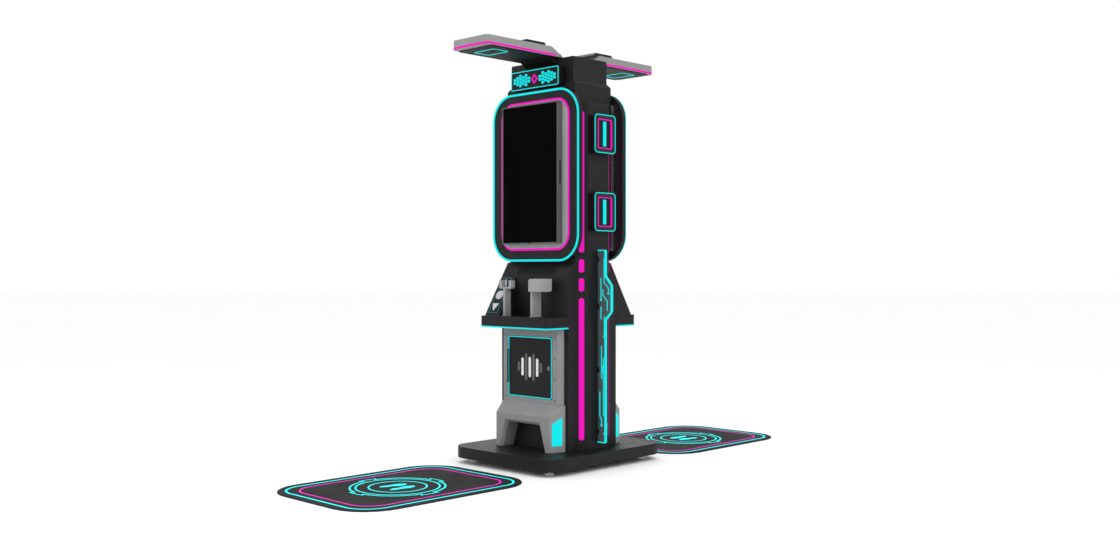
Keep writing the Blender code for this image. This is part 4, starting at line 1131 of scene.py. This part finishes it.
class DANCE_OT_mats(bpy.types.Operator):
    """Printed lines, target rings and footprints of the dance mats"""
    bl_idname = "dance.mats"
    bl_label = "Mats"

    def execute(self, context):
        trims = context.scene.dance_trims
        half = half_size("front_mat")
        centre_y = middle("front_mat").y
        corner = 0.26
        ink = 0.0007
        printed_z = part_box("front_mat")[1].z - 0.0003
        target_y = -1.415
        lines = (
            ("outer_line", trims.mat_cyan_inset, 0.175, 0.014, "cyan_ink_painted_glow"),
            ("inner_line", trims.mat_magenta_inset, 0.160, 0.010, "magenta_ink_painted_glow"))
        for side, turn in SIDES.items():
            body = f"{side}_mat"
            place = turn @ on_top(0, centre_y, printed_z)
            for name, inset, radius, width, colour in lines:
                line = loop(half.x - inset, half.y - inset, radius, width, ink, 0.0002, 24)
                show(f"{side}_mat_{name}", line, colour, place, body)
            aim = turn @ on_top(0, target_y, printed_z)
            show(f"{side}_mat_rings", target_rings(trims.mat_ring, ink), "cyan_ink_painted_glow", aim, body)
            feet = [footprint(-0.2, -0.05, 0.002, ink), footprint(-0.03, 0.052, -0.004, ink)]
            show(f"{side}_mat_footprints", together(feet), "cyan_ink_painted_glow", aim, body)
            welt = loop(half.x - 0.004, half.y - 0.004, corner - 0.004, 0.006, 0.0012, 0.0004, 32)
            show(f"{side}_mat_welt", welt, "mat_rubber", place, body)
        return {"FINISHED"}


# ---- stage ------------------------------------------------------------------------------------
class DANCE_OT_stage(bpy.types.Operator):
    """Pale floor, soft lights and the camera"""
    bl_idname = "dance.stage"
    bl_label = "Stage"

    def execute(self, context):
        scene = context.scene
        stage = scene.dance_stage
        scene.view_settings.view_transform = "Standard"
        bm = bmesh.new()
        bmesh.ops.create_circle(bm, cap_ends=True, radius=60.0, segments=96)
        mesh = bpy.data.meshes.new("floor")
        bm.to_mesh(mesh)
        bm.free()
        mesh.materials.append(floor_finish(tuple(stage.floor)))
        floor = bpy.data.objects.new("floor", mesh)
        floor.location.z = -0.0005
        scene.collection.objects.link(floor)

        world = bpy.data.worlds.new("soft_sky")
        world.use_nodes = True
        sky = world.node_tree.nodes["Background"]
        sky.inputs["Color"].default_value = (1.0, 1.0, 1.0, 1.0)
        sky.inputs["Strength"].default_value = stage.sky
        scene.world = world

        lamps = (
            ("key", (5.5, -1.5, 4.6), stage.key, 3.5), ("fill", (-1.5, -6.0, 3.6), stage.fill, 3.5),
            ("back", (-4.5, 4.5, 4.2), stage.fill, 3.0), ("top", (0.0, 0.0, 7.5), stage.fill, 5.0))
        for name, spot, power, size in lamps:
            data = bpy.data.lights.new(name, "AREA")
            data.energy = power
            data.size = size
            lamp = bpy.data.objects.new(name, data)
            lamp.location = spot
            aim = Vector((0, 0, 1.3)) - Vector(spot)
            lamp.rotation_mode = "QUATERNION"
            lamp.rotation_quaternion = aim.to_track_quat("-Z", "Y")
            scene.collection.objects.link(lamp)

        camera = bpy.data.objects.new("camera", bpy.data.cameras.new("camera"))
        camera.data.lens = stage.lens
        camera.data.sensor_width = 36.0
        camera.data.clip_end = 200.0
        camera.location = stage.camera
        camera.rotation_euler = (stage.pitch, 0, stage.heading)
        scene.collection.objects.link(camera)
        scene.camera = camera
        return {"FINISHED"}


class DANCE_PT_panel(bpy.types.Panel):
    """Lists the machine's makers and settings"""
    bl_idname = "DANCE_PT_panel"
    bl_label = "Dance Machine"
    bl_space_type = "VIEW_3D"
    bl_region_type = "UI"
    bl_category = "Dance Machine"

    def draw(self, context):
        for maker in MAKERS:
            self.layout.operator(maker.bl_idname)
        for name, group in SETTINGS.items():
            settings = getattr(context.scene, name)
            box = self.layout.box()
            for key in group.__annotations__:
                box.prop(settings, key)


SETTINGS = {
    "dance_lights": LightSettings,
    "dance_finishes": FinishSettings,
    "dance_trims": TrimSettings,
    "dance_stage": StageSettings,
}
MAKERS = (
    DANCE_OT_finishes, DANCE_OT_surfaces, DANCE_OT_screens, DANCE_OT_signs, DANCE_OT_canopies,
    DANCE_OT_consoles, DANCE_OT_doors, DANCE_OT_column, DANCE_OT_speakers, DANCE_OT_light_fins,
    DANCE_OT_mats, DANCE_OT_stage)


def register():
    for group in SETTINGS.values():
        bpy.utils.register_class(group)
    for maker in MAKERS:
        bpy.utils.register_class(maker)
    bpy.utils.register_class(DANCE_PT_panel)
    for name, group in SETTINGS.items():
        setattr(bpy.types.Scene, name, bpy.props.PointerProperty(type=group))


def unregister():
    for name in SETTINGS:
        delattr(bpy.types.Scene, name)
    bpy.utils.unregister_class(DANCE_PT_panel)
    for maker in reversed(MAKERS):
        bpy.utils.unregister_class(maker)
    for group in SETTINGS.values():
        bpy.utils.unregister_class(group)


def main():
    register()
    for maker in MAKERS:
        family, action = maker.bl_idname.split(".")
        getattr(getattr(bpy.ops, family), action)()


if __name__ == "__main__":
    main()
